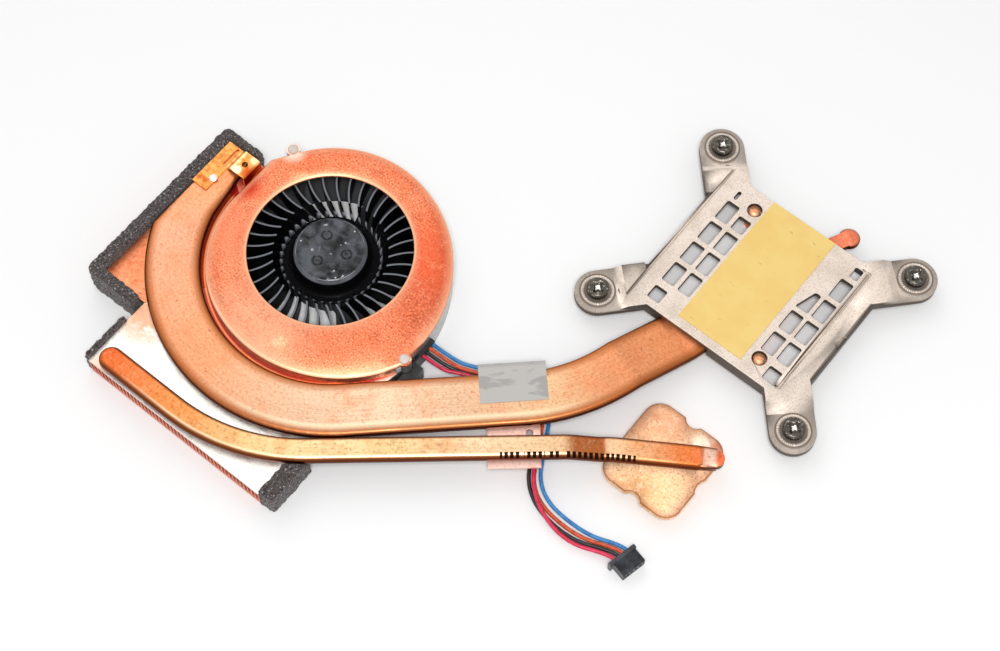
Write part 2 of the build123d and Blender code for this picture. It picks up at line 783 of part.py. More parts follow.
first_corner_x = narrow_corner[0] - (narrow_corner[1] - narrow_start[1]) / tan(narrow_run)
narrow_end = (
    narrow_corner[0] + narrow_last_run * cos(narrow_last), narrow_corner[1] + narrow_last_run * sin(narrow_last)
)
with BuildPart() as pipe_gpu:
    with BuildSketch():
        with BuildLine() as narrow_path:
            FilletPolyline(
                narrow_start, (first_corner_x, narrow_start[1]), narrow_corner, narrow_end,
                radius=(narrow_first_bend, narrow_last_bend),
            )
        trace(narrow_path.line, line_width=narrow_width)
        with Locations(narrow_start):
            Circle(narrow_width / 2)
        with Locations(Location((narrow_end[0], narrow_end[1], 0), (0, 0, narrow_last_angle))):
            Trapezoid(
                narrow_width, narrow_width / 4, narrow_taper_angle, rotation=-90, align=(Align.CENTER, Align.MIN)
            )
    extrude(amount=seat + 2 * narrow_thick)
    with BuildSketch(run_plane(narrow_corner, narrow_run_angle)):
        with BuildLine() as narrow_side:
            high = seat + narrow_thick / 2
            ramp_start = narrow_ramp_end - narrow_ramp_length
            FilletPolyline(
                (-cut_reach, high), (ramp_start, high), (narrow_ramp_end, high - narrow_drop),
                (cut_reach, high - narrow_drop), radius=narrow_ramp_round,
            )
        trace(narrow_side.line, line_width=narrow_thick)
    extrude(amount=cut_reach, both=True, mode=Mode.INTERSECT)
    fillet(rim(pipe_gpu.part), radius=narrow_round)
    with BuildSketch(Plane.XY.offset(gpu_level + (narrow_thick - narrow_crimp_thick) / 2)):
        with Locations(Location((narrow_end[0], narrow_end[1], 0), (0, 0, narrow_last_angle))):
            Polygon(
                (0, narrow_crimp_root / 2), (narrow_crimp_length, narrow_crimp_end / 2),
                (narrow_crimp_length, -narrow_crimp_end / 2), (0, -narrow_crimp_root / 2), align=None,
            )
            with Locations((narrow_crimp_length, 0)):
                Ellipse(*narrow_nub)
    extrude(amount=narrow_crimp_thick)
save(pipe_gpu, "pipe_gpu")

with BuildPart() as foam_b_right:
    with BuildSketch():
        with Locations((stack_b_right, stack_b_low)):
            Rectangle(foam_b_right_thick, stack_b_high - stack_b_low, align=Align.MIN)
    extrude(amount=seat + foam_b_rise)
    with BuildSketch(Plane.XY.offset(seat)):
        trace(narrow_path.line, line_width=narrow_width + 2 * foam_pipe_gap)
    extrude(amount=foam_b_rise, mode=Mode.SUBTRACT)
    outer = foam_b_right.edges().filter_by(Axis.Z).group_by(Axis.X)[-1]
    fillet(outer.sort_by(Axis.Y)[0], radius=foam_round)
save(foam_b_right, "foam_b_right")

# Plates that the pipes are soldered to

block_plane = Plane((bracket_center[0], bracket_center[1], 0))
studs = ((-stud_point[0], stud_point[1]), (stud_point[0], -stud_point[1]))
with BuildPart() as cpu_block:
    with BuildSketch(block_plane):
        Rectangle(block_width, block_depth)
        with Locations(*studs):
            Circle(stud_ear)
        with Locations(studs[0]):
            Rectangle(stud_point[0], 2 * stud_ear, align=(Align.MIN, Align.CENTER))
        with Locations(studs[1]):
            Rectangle(stud_point[0], 2 * stud_ear, align=(Align.MAX, Align.CENTER))
    extrude(amount=block_thick)
    with BuildSketch(block_plane.offset(block_thick)):
        with Locations(*studs):
            Circle(stud_radius)
    extrude(amount=bracket_top - stud_gap - block_thick)
save(cpu_block, "cpu_block")

with BuildPart() as gpu_plate:
    with BuildSketch(Plane((gpu_center[0], gpu_center[1], gpu_level))):
        RectangleRounded(gpu_width, gpu_depth, gpu_corner)
        with Locations((0, gpu_depth / 2 + gpu_notch / 2), (0, -gpu_depth / 2 - gpu_notch / 2)):
            Circle(gpu_notch, mode=Mode.SUBTRACT)
        with Locations((gpu_width / 2 + gpu_notch, 0)):
            Circle(gpu_end_notch, mode=Mode.SUBTRACT)
    extrude(amount=-gpu_thick)
    chamfer(gpu_plate.faces().sort_by(Axis.Z)[-1].edges(), length=gpu_thick / 4)
save(gpu_plate, "gpu_plate")

with BuildPart() as bridge_plate:
    bridge_frame = Plane((bridge_center[0], bridge_center[1], seat), x_dir=(cos(narrow_run), sin(narrow_run), 0))
    with BuildSketch(bridge_frame):
        Rectangle(bridge_length, bridge_depth)
        with Locations(bridge_hole_point):
            Circle(bridge_hole, mode=Mode.SUBTRACT)
    extrude(amount=-bridge_thick)
save(bridge_plate, "bridge_plate")

# Cast bracket: ribbed lid over the pipe, four arms with collars for the captive screws

screw_points = [
    (side_x * screw_spacing_x / 2, side_y * screw_spacing_y / 2)
    for side_x, side_y in ((-1, 1), (1, 1), (1, -1), (-1, -1))
]
arm_turns = (-arm_angle, 180 + arm_angle, 180 - arm_angle, arm_angle)
plate_mid = ((plate_left + plate_right) / 2, (plate_low + plate_high) / 2)
plate_width = plate_right - plate_left
plate_depth = plate_high - plate_low


def bracket_plane(level):
    """Level plane centred between the four screws."""
    return Plane((bracket_center[0], bracket_center[1], level))


with BuildPart() as cpu_bracket:
    with BuildSketch(bracket_plane(bracket_floor)):
        with Locations(plate_mid):
            Rectangle(plate_width, plate_depth)
    extrude(amount=bracket_top - bracket_floor)
    chamfer(
        cpu_bracket.faces().sort_by(Axis.Z)[-1].edges().filter_by(Axis.Y), length=rail_bevel,
    )
    with BuildSketch(bracket_plane(bracket_floor)):
        with Locations(plate_mid):
            Rectangle(plate_width - 2 * skirt_wall, plate_depth - 2 * skirt_wall)
    extrude(amount=wide_thick, mode=Mode.SUBTRACT)
    with BuildSketch(bracket_plane(arm_under)):
        for (x, y), turn_angle in zip(screw_points, arm_turns):
            with Locations(Location((x, y, 0), (0, 0, turn_angle))):
                with Locations((arm_length / 2, 0)):
                    SlotCenterToCenter(arm_length, arm_width)
        with Locations(plate_mid):
            Rectangle(plate_width - 2 * skirt_wall, plate_depth - 2 * skirt_wall, mode=Mode.SUBTRACT)
    extrude(amount=arm_thick)
    for (x, y), turn_angle in zip(screw_points, arm_turns):
        with BuildSketch(run_plane((bracket_center[0] + x, bracket_center[1] + y), turn_angle)):
            Polygon(
                (arm_ramp_start, arm_top), (arm_ramp_start + arm_ramp_length, bracket_top),
                (arm_ramp_end, bracket_top), (arm_ramp_end, arm_top), align=None,
            )
        extrude(amount=arm_width / 2, both=True)
    with BuildSketch(bracket_plane(arm_top)):
        with Locations(*screw_points):
            Circle(collar_radius)
    extrude(amount=collar_rise)
    with BuildSketch(bracket_plane(head_seat)):
        with Locations(*screw_points):
            Circle(recess_radius)
    extrude(amount=collar_top - head_seat, mode=Mode.SUBTRACT)
    with BuildSketch(bracket_plane(arm_under)):
        with Locations(*screw_points):
            Circle(screw_radius + screw_hole_gap)
    extrude(amount=arm_thick, mode=Mode.SUBTRACT)
    with BuildSketch(bracket_plane(bracket_top)) as windows:
        places = [(x, y) for x in window_columns for y in window_rows if x != slant_column or y < 0]
        places.remove((window_columns[1], window_rows[0]))
        with Locations(*places):
            Rectangle(window_width, window_height)
        with Locations((window_columns[1], window_rows[0] - window_height / 2)):
            Rectangle(window_width, short_window_height, align=(Align.CENTER, Align.MIN))
        with Locations(half_window_point, (-half_window_point[0], half_window_point[1])):
            Rectangle(window_width, half_window_height)
        with Locations(small_slot_point):
            Rectangle(*small_slot_size)
        with Locations(arch_slot_point):
            Rectangle(*arch_slot_size)
        Polygon(*slant_window, align=None)
        chamfer(windows.vertices(), length=small_slot_size[0] / 3)
    extrude(amount=-lid_thick, mode=Mode.SUBTRACT)
    with BuildSketch(bracket_plane(bracket_top)):
        with Locations((plate_right, 0)):
            Circle(ledge_notch_radius)
    extrude(amount=-ledge_notch_depth, mode=Mode.SUBTRACT)
    with BuildSketch(bracket_plane(bracket_top)):
        with Locations(*studs):
            Circle(stud_radius + stud_gap)
    extrude(amount=-lid_thick, mode=Mode.SUBTRACT)
    with BuildSketch(bracket_plane(bracket_top)):
        with Locations((groove_left, 0)):
            Rectangle(groove_width, plate_depth + groove_hook)
        with Locations((groove_right, 0)):
            Rectangle(groove_width, groove_length)
        with Locations((groove_right, groove_length / 2), (groove_right, -groove_length / 2)):
            Rectangle(groove_hook, groove_width, align=(Align.MAX, Align.CENTER))
    extrude(amount=-groove_depth, mode=Mode.SUBTRACT)
    with BuildSketch(run_plane(wide_corner, wide_last_angle)):
        with Locations((2 * half, bracket_floor)):
            Rectangle(cut_reach, wide_thick + channel_gap, align=Align.MIN)
    extrude(amount=half + channel_gap, both=True, mode=Mode.SUBTRACT)
save(cpu_bracket, "cpu_bracket")

with BuildPart() as pad_film:
    with BuildSketch(bracket_plane(bracket_top)):
        with Locations(pad_point):
            Rectangle(pad_width, pad_depth)
    extrude(amount=pad_thick)
save(pad_film, "pad_film")

# Captive screws, each with the ring that keeps it in its arm

ring_level = arm_under - ring_gap - ring_thick
groove_low = ring_level - ring_groove_spare
groove_high = ring_level + ring_thick + ring_running_gap


def screw_plane(point, level):
    """Level plane centred on one of the four screws."""
    return Plane((bracket_center[0] + point[0], bracket_center[1] + point[1], level))


for number, point in enumerate(screw_points, start=1):
    with BuildPart() as screw:
        with BuildSketch(screw_plane(point, 0)):
            Circle(screw_radius)
        extrude(amount=groove_low)
        with BuildSketch(screw_plane(point, groove_low)):
            Circle(screw_neck_radius - ring_groove_depth)
        extrude(amount=groove_high - groove_low)
        with BuildSketch(screw_plane(point, groove_high)):
            Circle(screw_neck_radius)
        extrude(amount=head_under - groove_high)
        with BuildSketch(screw_plane(point, head_under)):
            Circle(screw_head_radius)
        extrude(amount=screw_head_height)
        chamfer(screw.edges().group_by(Axis.Z)[-1], length=screw_head_height / 4)
        with BuildSketch(screw_plane(point, head_under + screw_head_height)):
            Rectangle(screw_slot_length, screw_slot_width)
            Rectangle(screw_slot_width, screw_slot_length)
        extrude(amount=-screw_slot_depth, mode=Mode.SUBTRACT)
    save(screw, f"screw_{number}")
    with BuildPart() as screw_ring:
        with BuildSketch(screw_plane(point, ring_level)):
            Circle(ring_radius)
            Circle(screw_neck_radius - ring_groove_depth + ring_running_gap, mode=Mode.SUBTRACT)
            with Locations((0, -ring_radius)):
                Rectangle(ring_mouth, 2 * ring_radius, mode=Mode.SUBTRACT)
        extrude(amount=ring_thick)
    save(screw_ring, f"screw_ring_{number}")

# Brass clip folded over the end of the wide pipe

clip_seat = seat + wide_thick
with BuildPart() as pipe_clip:
    with BuildSketch(Plane.XY.offset(clip_seat)):
        with Locations((wide_end_left, clip_low)):
            Rectangle(clip_plate_right - wide_end_left, wide_end_top - clip_low, align=Align.MIN)
    extrude(amount=clip_sheet)
    with BuildSketch(Plane.XZ.offset(-wide_end_top)):
        with BuildLine() as fold:
            FilletPolyline(
                (clip_plate_right - 2 * clip_slot, clip_seat + clip_sheet / 2),
                (clip_plate_right, clip_seat + clip_sheet / 2),
                (clip_plate_right + clip_rise, clip_seat + clip_sheet / 2 + clip_rise),
                (clip_block_right - clip_sheet, clip_seat + clip_sheet / 2 + clip_rise),
                (clip_block_right - clip_sheet, seat + clip_sheet), radius=clip_sheet,
            )
        trace(fold.line, line_width=clip_sheet)
    extrude(amount=wide_end_top - clip_block_low)
    with BuildSketch(Plane.XY.offset(clip_seat)):
        with Locations((clip_plate_right - 2 * clip_slot, (clip_block_low + wide_end_top) / 2)):
            SlotCenterToCenter(wide_end_top - clip_block_low - 2 * clip_slot, clip_slot, rotation=90)
        with Locations(clip_hole_point):
            Circle(clip_hole_radius)
    extrude(amount=clip_rise + clip_sheet, mode=Mode.SUBTRACT)
save(pipe_clip, "pipe_clip")

with BuildPart() as clip_rivet:
    with BuildSketch(Plane.XY.offset(clip_seat + clip_sheet)):
        with Locations(clip_rivet_point):
            Circle(clip_rivet_radius)
    extrude(amount=clip_rivet_height)
    chamfer(clip_rivet.edges().group_by(Axis.Z)[-1], length=clip_rivet_height / 2)
save(clip_rivet, "clip_rivet")

# Tape over the wide pipe's edge, folded down over the wires

with BuildPart() as wire_tape:
    across = Plane((tape_center[0], tape_center[1], 0), x_dir=(-sin(run), cos(run), 0), z_dir=(cos(run), sin(run), 0))
    tape_level = seat + wide_thick + tape_thick / 2
    with BuildSketch(across):
        with BuildLine() as tape_line:
            FilletPolyline(
                (-tape_half_in, tape_level), (tape_half_in, tape_level),
                (tape_half_in + tape_overhang, tape_level - tape_drop / 3),
                (tape_half_in + tape_overhang + tape_drop / 4, tape_level - tape_drop), radius=tape_drop / 4,
            )
        trace(tape_line.line, line_width=tape_thick)
    extrude(amount=tape_length / 2, both=True)
save(wire_tape, "wire_tape")

# Connector with four contacts

plug_turn = radians(connector_turn_angle)
plug_along = Vector(cos(plug_turn), sin(plug_turn))
plug_across = Vector(-sin(plug_turn), cos(plug_turn))
plug_back = Vector(*connector_point)
plug_front = plug_back + plug_along * (connector_flange + connector_body)
plug_frame = Plane((plug_back.X, plug_back.Y, 0), x_dir=(plug_along.X, plug_along.Y, 0))
front_frame = Plane(
    (plug_front.X, plug_front.Y, 0), x_dir=(plug_across.X, plug_across.Y, 0), z_dir=(plug_along.X, plug_along.Y, 0)
)
with BuildPart() as connector_housing:
    with BuildSketch(plug_frame):
        with Locations((0, -connector_flange_shift)):
            Rectangle(connector_flange, connector_flange_width, align=(Align.MIN, Align.CENTER))
    extrude(amount=connector_flange_height)
    with BuildSketch(plug_frame):
        Rectangle(connector_flange + connector_body, connector_width, align=(Align.MIN, Align.CENTER))
    extrude(amount=connector_height)
    with BuildSketch(front_frame):
        with Locations((0, connector_height / 2)):
            with GridLocations(connector_pitch, 1, wire_count, 1):
                Rectangle(contact_slot, connector_height / 2)
    extrude(amount=-contact_depth, mode=Mode.SUBTRACT)
save(connector_housing, "connector_housing")

with BuildPart() as connector_contacts:
    with BuildSketch(front_frame.offset(-contact_depth)):
        with Locations((0, connector_height / 4 + contact_thick / 2)):
            with GridLocations(connector_pitch, 1, wire_count, 1):
                Rectangle(contact_slot - 2 * fit_gap, contact_thick)
    extrude(amount=contact_depth - contact_slot)
save(connector_contacts, "connector_contacts")

# Four wires from the gate, under the pipes, to the connector

for number, (colour, route) in enumerate(wire_routes.items()):
    gate_end = [(gate_outer + lead, *route[0]) for lead in (0, wire_gate_lead)]
    plug_point = plug_back + plug_across * (((wire_count - 1) / 2 - number) * connector_pitch)
    plug_end = [
        (plug_point.X - plug_along.X * lead, plug_point.Y - plug_along.Y * lead, connector_height / 2)
        for lead in (wire_plug_lead, 0)
    ]
    points = [Vector(*point) for point in (*gate_end, *route[1:], *plug_end)]
    runs = [b - a for a, b in zip(points, points[1:])]
    radii = [
        wire_round_share * min(a.length, b.length) / tan(radians(a.get_angle(b)) / 2)
        for a, b in zip(runs, runs[1:])
    ]
    with BuildPart() as wire:
        with BuildLine() as wire_path:
            FilletPolyline(*points, radius=radii)
        with BuildSketch(Plane(wire_path.line @ 0, z_dir=wire_path.line % 0)):
            Circle(wire_radius)
        sweep()
    save(wire, f"wire_{colour}")
    wire_length = sum(edge.length for edge in wire_path.edges())
    section = wire.part.volume / wire_length / (wire_radius**2)
    print(f"wire_{colour} length {wire_length:.1f} section ratio {section:.3f} radii", [round(r, 1) for r in radii])
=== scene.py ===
"""Looks of a laptop cooling fan heatsink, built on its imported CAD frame.

Every piece is a merged, smooth-shaded skin of its CAD node, or a wire drawn here, and each finish is
a node material. Lengths in the classes are millimetres unless a name or docstring says metres.
"""

import json
import logging
import math
from dataclasses import dataclass, field
from enum import Enum
from functools import reduce

import bmesh
import bpy
import numpy as np
from mathutils import Matrix, Vector

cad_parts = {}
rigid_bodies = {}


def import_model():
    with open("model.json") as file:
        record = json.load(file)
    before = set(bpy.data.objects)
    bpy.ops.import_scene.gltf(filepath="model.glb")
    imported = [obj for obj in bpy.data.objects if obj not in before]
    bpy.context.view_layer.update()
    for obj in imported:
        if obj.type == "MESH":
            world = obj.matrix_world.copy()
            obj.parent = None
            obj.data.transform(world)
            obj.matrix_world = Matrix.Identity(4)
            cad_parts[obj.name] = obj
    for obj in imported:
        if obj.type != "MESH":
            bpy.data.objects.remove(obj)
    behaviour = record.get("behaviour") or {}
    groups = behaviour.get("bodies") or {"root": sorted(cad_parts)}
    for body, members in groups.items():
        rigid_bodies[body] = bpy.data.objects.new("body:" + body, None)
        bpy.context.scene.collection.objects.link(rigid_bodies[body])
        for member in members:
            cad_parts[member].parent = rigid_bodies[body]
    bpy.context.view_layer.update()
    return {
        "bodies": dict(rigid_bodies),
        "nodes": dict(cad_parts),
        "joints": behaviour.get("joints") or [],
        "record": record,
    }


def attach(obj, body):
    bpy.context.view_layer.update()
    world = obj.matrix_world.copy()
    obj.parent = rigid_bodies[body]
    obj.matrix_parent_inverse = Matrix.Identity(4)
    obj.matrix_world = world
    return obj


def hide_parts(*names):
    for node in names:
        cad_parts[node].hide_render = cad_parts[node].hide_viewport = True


LOG = logging.getLogger("heatsink")
MM = 0.001
IN_PLAN = (1.0, 1.0, 0.0)

Colour = tuple[int, int, int]
Pair = tuple[float, float]
Point = tuple[float, ...]
Material = bpy.types.Material
Piece = bpy.types.Object
Socket = bpy.types.NodeSocket


def linear(colour: Colour) -> Point:
    """Turn a colour written as 0 to 255 on a screen into Blender's linear light.

    Args:
        colour: Red, green and blue as a screen shows them.

    Returns:
        The four numbers of a colour socket.
    """
    parts = [c / 255 for c in colour]
    light = [p / 12.92 if p <= 0.04045 else ((p + 0.055) / 1.055) ** 2.4 for p in parts]
    return (*light, 1.0)


def paint(colour: object) -> object:
    """What a colour socket takes: another socket as it is, or a screen colour in linear light."""
    return linear(colour) if isinstance(colour, tuple) else colour


def stand(name: str, data: bpy.types.ID) -> Piece:
    """Put a new object with this mesh, curve, lamp or camera into the scene."""
    bpy.context.scene.collection.objects.link(made := bpy.data.objects.new(name, data))
    return made


class Tree:
    """The empty node tree of a material or a world, to be filled node by node."""

    def __init__(self, owner: Material | bpy.types.World) -> None:
        """Clear the owner's node tree.

        Args:
            owner: The material or the world.
        """
        owner.use_nodes = True
        self.tree = owner.node_tree
        self.tree.nodes.clear()

    def node(self, kind: str, inputs: dict | None = None, **settings: object) -> bpy.types.Node:
        """Add a node, set its properties and feed its inputs.

        Args:
            kind: Blender's word for the node, after ShaderNode.
            inputs: Values or other sockets, by the name or number of the input.
            settings: The node's properties.

        Returns:
            The new node.
        """
        made = self.tree.nodes.new(f"ShaderNode{kind}")
        for name, value in settings.items():
            setattr(made, name, value)
        for key, value in (inputs or {}).items():
            self.feed(made.inputs[key], value)
        return made

    def feed(self, socket: Socket, value: object) -> None:
        """Link a socket to another, or set its own value.

        Args:
            socket: The socket to fill.
            value: Another socket or a constant.
        """
        if isinstance(value, Socket):
            self.tree.links.new(value, socket)
        else:
            socket.default_value = value

    def maths(self, operation: str, first: object, second: object = 0.0) -> Socket:
        """Combine two numbers."""
        return self.node("Math", {0: first, 1: second}, operation=operation).outputs[0]


class Coat(Tree):
    """One material's tree and its colour so far, with short words for what the finishes share."""

    noise_roughness = 0.6
    bevel_samples = 4

    def __init__(self, name: str) -> None:
        """Start an empty material with a shader and an output.

        Args:
            name: The material's name.
        """
        self.material = bpy.data.materials.new(name)
        super().__init__(self.material)
        self.shader = self.node("BsdfPrincipled")
        self.node("OutputMaterial", {0: self.shader.outputs[0]})
        self.place = self.node("TexCoord").outputs["Object"]
        self.colour: object = None

    def below(self, value: object, limit: float) -> Socket:
        """1 where a number is under a limit, else 0."""
        return self.maths("LESS_THAN", value, limit)

    def above(self, value: object, limit: float) -> Socket:
        """1 where a number is over a limit, else 0."""
        return self.maths("GREATER_THAN", value, limit)

    def times(self, *shares: object) -> Socket:
        """Multiply numbers together."""
        return reduce(lambda first, second: self.maths("MULTIPLY", first, second), shares)

    def off(self, value: object, level: float) -> Socket:
        """How far a number is from a level, either way."""
        return self.maths("ABSOLUTE", self.maths("SUBTRACT", value, level))

    def scaled(self, stretch: Point, vector: object = None) -> Socket:
        """Scale the coordinates differently along each axis."""
        inputs = {0: vector or self.place, 1: stretch}
        return self.node("VectorMath", inputs, operation="MULTIPLY").outputs[0]

    def turned(self, degrees: float) -> Socket:
        """Turn the coordinates about Z."""
        inputs = {"Vector": self.place, "Rotation": (0.0, 0.0, math.radians(degrees))}
        return self.node("Mapping", inputs).outputs[0]

    def axis(self, letter: str, vector: object = None) -> Socket:
        """One coordinate of a vector."""
        return self.node("SeparateXYZ", {0: vector or self.place}).outputs[letter]

    def reach(self, centre: Pair = (0.0, 0.0)) -> Socket:
        """Distance in plan, in metres, from a point given in millimetres."""
        inputs = {0: self.scaled(IN_PLAN), 1: (centre[0] * MM, centre[1] * MM, 0.0)}
        return self.node("VectorMath", inputs, operation="DISTANCE").outputs["Value"]

    def noise(self, grains_per_m: float, detail: float = 3.0, vector: object = None) -> Socket:
        """Cloudy noise from 0 to 1 with that many grains to the metre."""
        inputs = {"Scale": grains_per_m, "Detail": detail, "Roughness": self.noise_roughness}
        return self.node("TexNoise", {"Vector": vector or self.place, **inputs}).outputs[0]

    def ramp(self, value: object, low: float, high: float, to: Pair = (0.0, 1.0)) -> Socket:
        """Map a number from low..high to a clamped range."""
        inputs = {"Value": value, "From Min": low, "From Max": high, "To Min": to[0], "To Max": to[1]}
        return self.node("MapRange", inputs, clamp=True).outputs["Result"]

    def mix(self, share: object, first: object, second: object) -> Socket:
        """Blend two colours."""
        inputs = {0: share, 6: paint(first), 7: paint(second)}
        return self.node("Mix", inputs, data_type="RGBA").outputs[2]

    def blend(self, share: object, other: object) -> None:
        """Blend another colour into the one so far."""
        self.colour = self.mix(share, self.colour, other)

    def tint(self, other: object, value: object, low: float, high: float, share: float = 1.0) -> None:
        """Blend another colour in, up to a share, as a number goes from low to high."""
        self.blend(self.ramp(value, low, high, (0.0, share)), other)

    def mark(self, marks: tuple["Mark", ...]) -> None:
        """Lay marks over the colour so far, one after another."""
        for mark in marks:
            self.blend(mark.share(self), mark.colour)

    def ladder(self, value: object, steps: tuple[tuple[float, Colour], ...]) -> Socket:
        """Colours that change along a number from 0 to 1.

        Args:
            value: The number.
            steps: Where each colour stands, in order.

        Returns:
            The colour.
        """
        made = self.node("ValToRGB", {0: value})
        stops = made.color_ramp.elements
        while len(stops) < len(steps):
            stops.new(1.0)
        for stop, (spot, colour) in zip(stops, steps):
            stop.position = spot
            stop.color = linear(colour)
        return made.outputs[0]

    def normal(self) -> Socket:
        """The way a face looks."""
        return self.node("NewGeometry").outputs["Normal"]

    def upward(self) -> Socket:
        """How far a face looks up, from -1 to 1."""
        return self.axis("Z", self.normal())

    def relief(self, height: object, depth_mm: float, edge_mm: float = 0.0) -> None:
        """Give the shader a bumpy surface, with its edges eased where asked.

        Args:
            height: The bumps, as shares of their depth.
            depth_mm: Their depth.
            edge_mm: The radius of the eased edges, or 0 for none.
        """
        bump = self.node("Bump", {"Strength": 1.0, "Distance": depth_mm * MM, "Height": height})
        if edge_mm:
            eased = self.node("Bevel", {"Radius": edge_mm * MM}, samples=self.bevel_samples)
            self.feed(bump.inputs["Normal"], eased.outputs[0])
        self.feed(self.shader.inputs["Normal"], bump.outputs[0])

    def surface(self, roughness: object, metallic: object = 0.0, **others: object) -> None:
        """Set the shader's main sockets, and others by name.

        Args:
            roughness: From 0 for shiny to 1 for matt.
            metallic: 1 for bare metal.
            others: Further sockets by name, with underscores for spaces.
        """
        sockets = {"Base Color": paint(self.colour), "Roughness": roughness, "Metallic": metallic}
        sockets.update({name.replace("_", " "): value for name, value in others.items()})
        for name, value in sockets.items():
            self.feed(self.shader.inputs[name], value)


@dataclass(frozen=True)
class Mark:
    """A mark of another colour round a point on a sheet."""

    centre: Pair
    radius: float
    colour: Colour

    def share(self, coat: Coat) -> Socket:
        """How much of the mark shows."""
        raise NotImplementedError


@dataclass(frozen=True)
class Stain(Mark):
    """A soft-edged ragged patch, full inside its core."""

    strength: float = 0.7
    grains_per_m: float = 900.0
    cover: float = 0.5
    core: float = 0.35
    softness: float = 0.1

    def share(self, coat: Coat) -> Socket:
        """How much of the patch shows.

        Args:
            coat: The material.

        Returns:
            The share, from 0 to the patch's strength.
        """
        near = coat.ramp(coat.reach(self.centre), self.radius * MM, self.radius * self.core * MM)
        middle = 1.0 - self.cover
        grains = coat.noise(self.grains_per_m, 4.0)
        ragged = coat.ramp(grains, middle - self.softness, middle + self.softness)
        return coat.times(near, ragged, self.strength)


@dataclass(frozen=True)
class RingMark(Mark):
    """A thin ring whose line fades over its outer half."""

    half_width: float
    strength: float = 0.9

    def share(self, coat: Coat) -> Socket:
        """How much of the ring shows."""
        off = coat.off(coat.reach(self.centre), self.radius * MM)
        return coat.ramp(off, self.half_width * MM, self.half_width / 2 * MM, (0.0, self.strength))


@dataclass(frozen=True)
class Finish:
    """A named finish, which makes one material."""

    name: str

    def apply(self, coat: Coat) -> None:
        """Lay the finish on a new material."""
        raise NotImplementedError

    def build(self) -> Material:
        """Make the material.

        Returns:
            The finished material.
        """
        coat = Coat(self.name)
        self.apply(coat)
        return coat.material


@dataclass(frozen=True)
class StainedCopper(Finish):
    """Bare copper sheet with cloudy tarnish, a coarse speckle and patches; its tilted edges carry a painted
    highlight in the pale colour, or painted shade where a darker edge colour is given.
    """

    clean: Colour
    pale: Colour
    dark: Colour
    pale_share: float = 0.5
    speck_share: float = 0.45
    roughness: Pair = (0.4, 0.58)
    edge_mm: float = 0.15
    marks: tuple[Mark, ...] = ()
    grains_per_m: float = 1250.0
    # Colour of the tilted edges: painted shade where given, else the pale colour is used as a painted
    # highlight.
    edge: Colour | None = None

    def apply(self, coat: Coat) -> None:
        """Lay the copper on.

        Args:
            coat: The material.
        """
        clouds = coat.noise(95.0, 5.0)
        grain = coat.noise(self.grains_per_m, 6.0)
        slope = coat.upward()
        coat.colour = self.clean
        coat.tint(self.pale, clouds, 0.4, 0.72, self.pale_share)
        coat.tint(self.dark, coat.noise(310.0, 4.0), 0.52, 0.68, 0.32)
        coat.tint(self.dark, grain, 0.52, 0.66, self.speck_share)
        coat.tint(self.pale, grain, 0.46, 0.34, self.speck_share * 0.7)
        coat.mark(self.marks)
        # Painted highlight on tilted edges in the pale colour, or painted shade in the edge colour where one
        # is given.
        eased = coat.times(coat.ramp(slope, 0.5, 0.6), coat.ramp(slope, 0.97, 0.9, (0.0, 0.7)))
        coat.blend(eased, self.edge or self.pale)
        coat.surface(coat.ramp(clouds, 0.3, 0.7, self.roughness), 1.0)
        coat.relief(coat.noise(3800.0), 0.03, self.edge_mm)


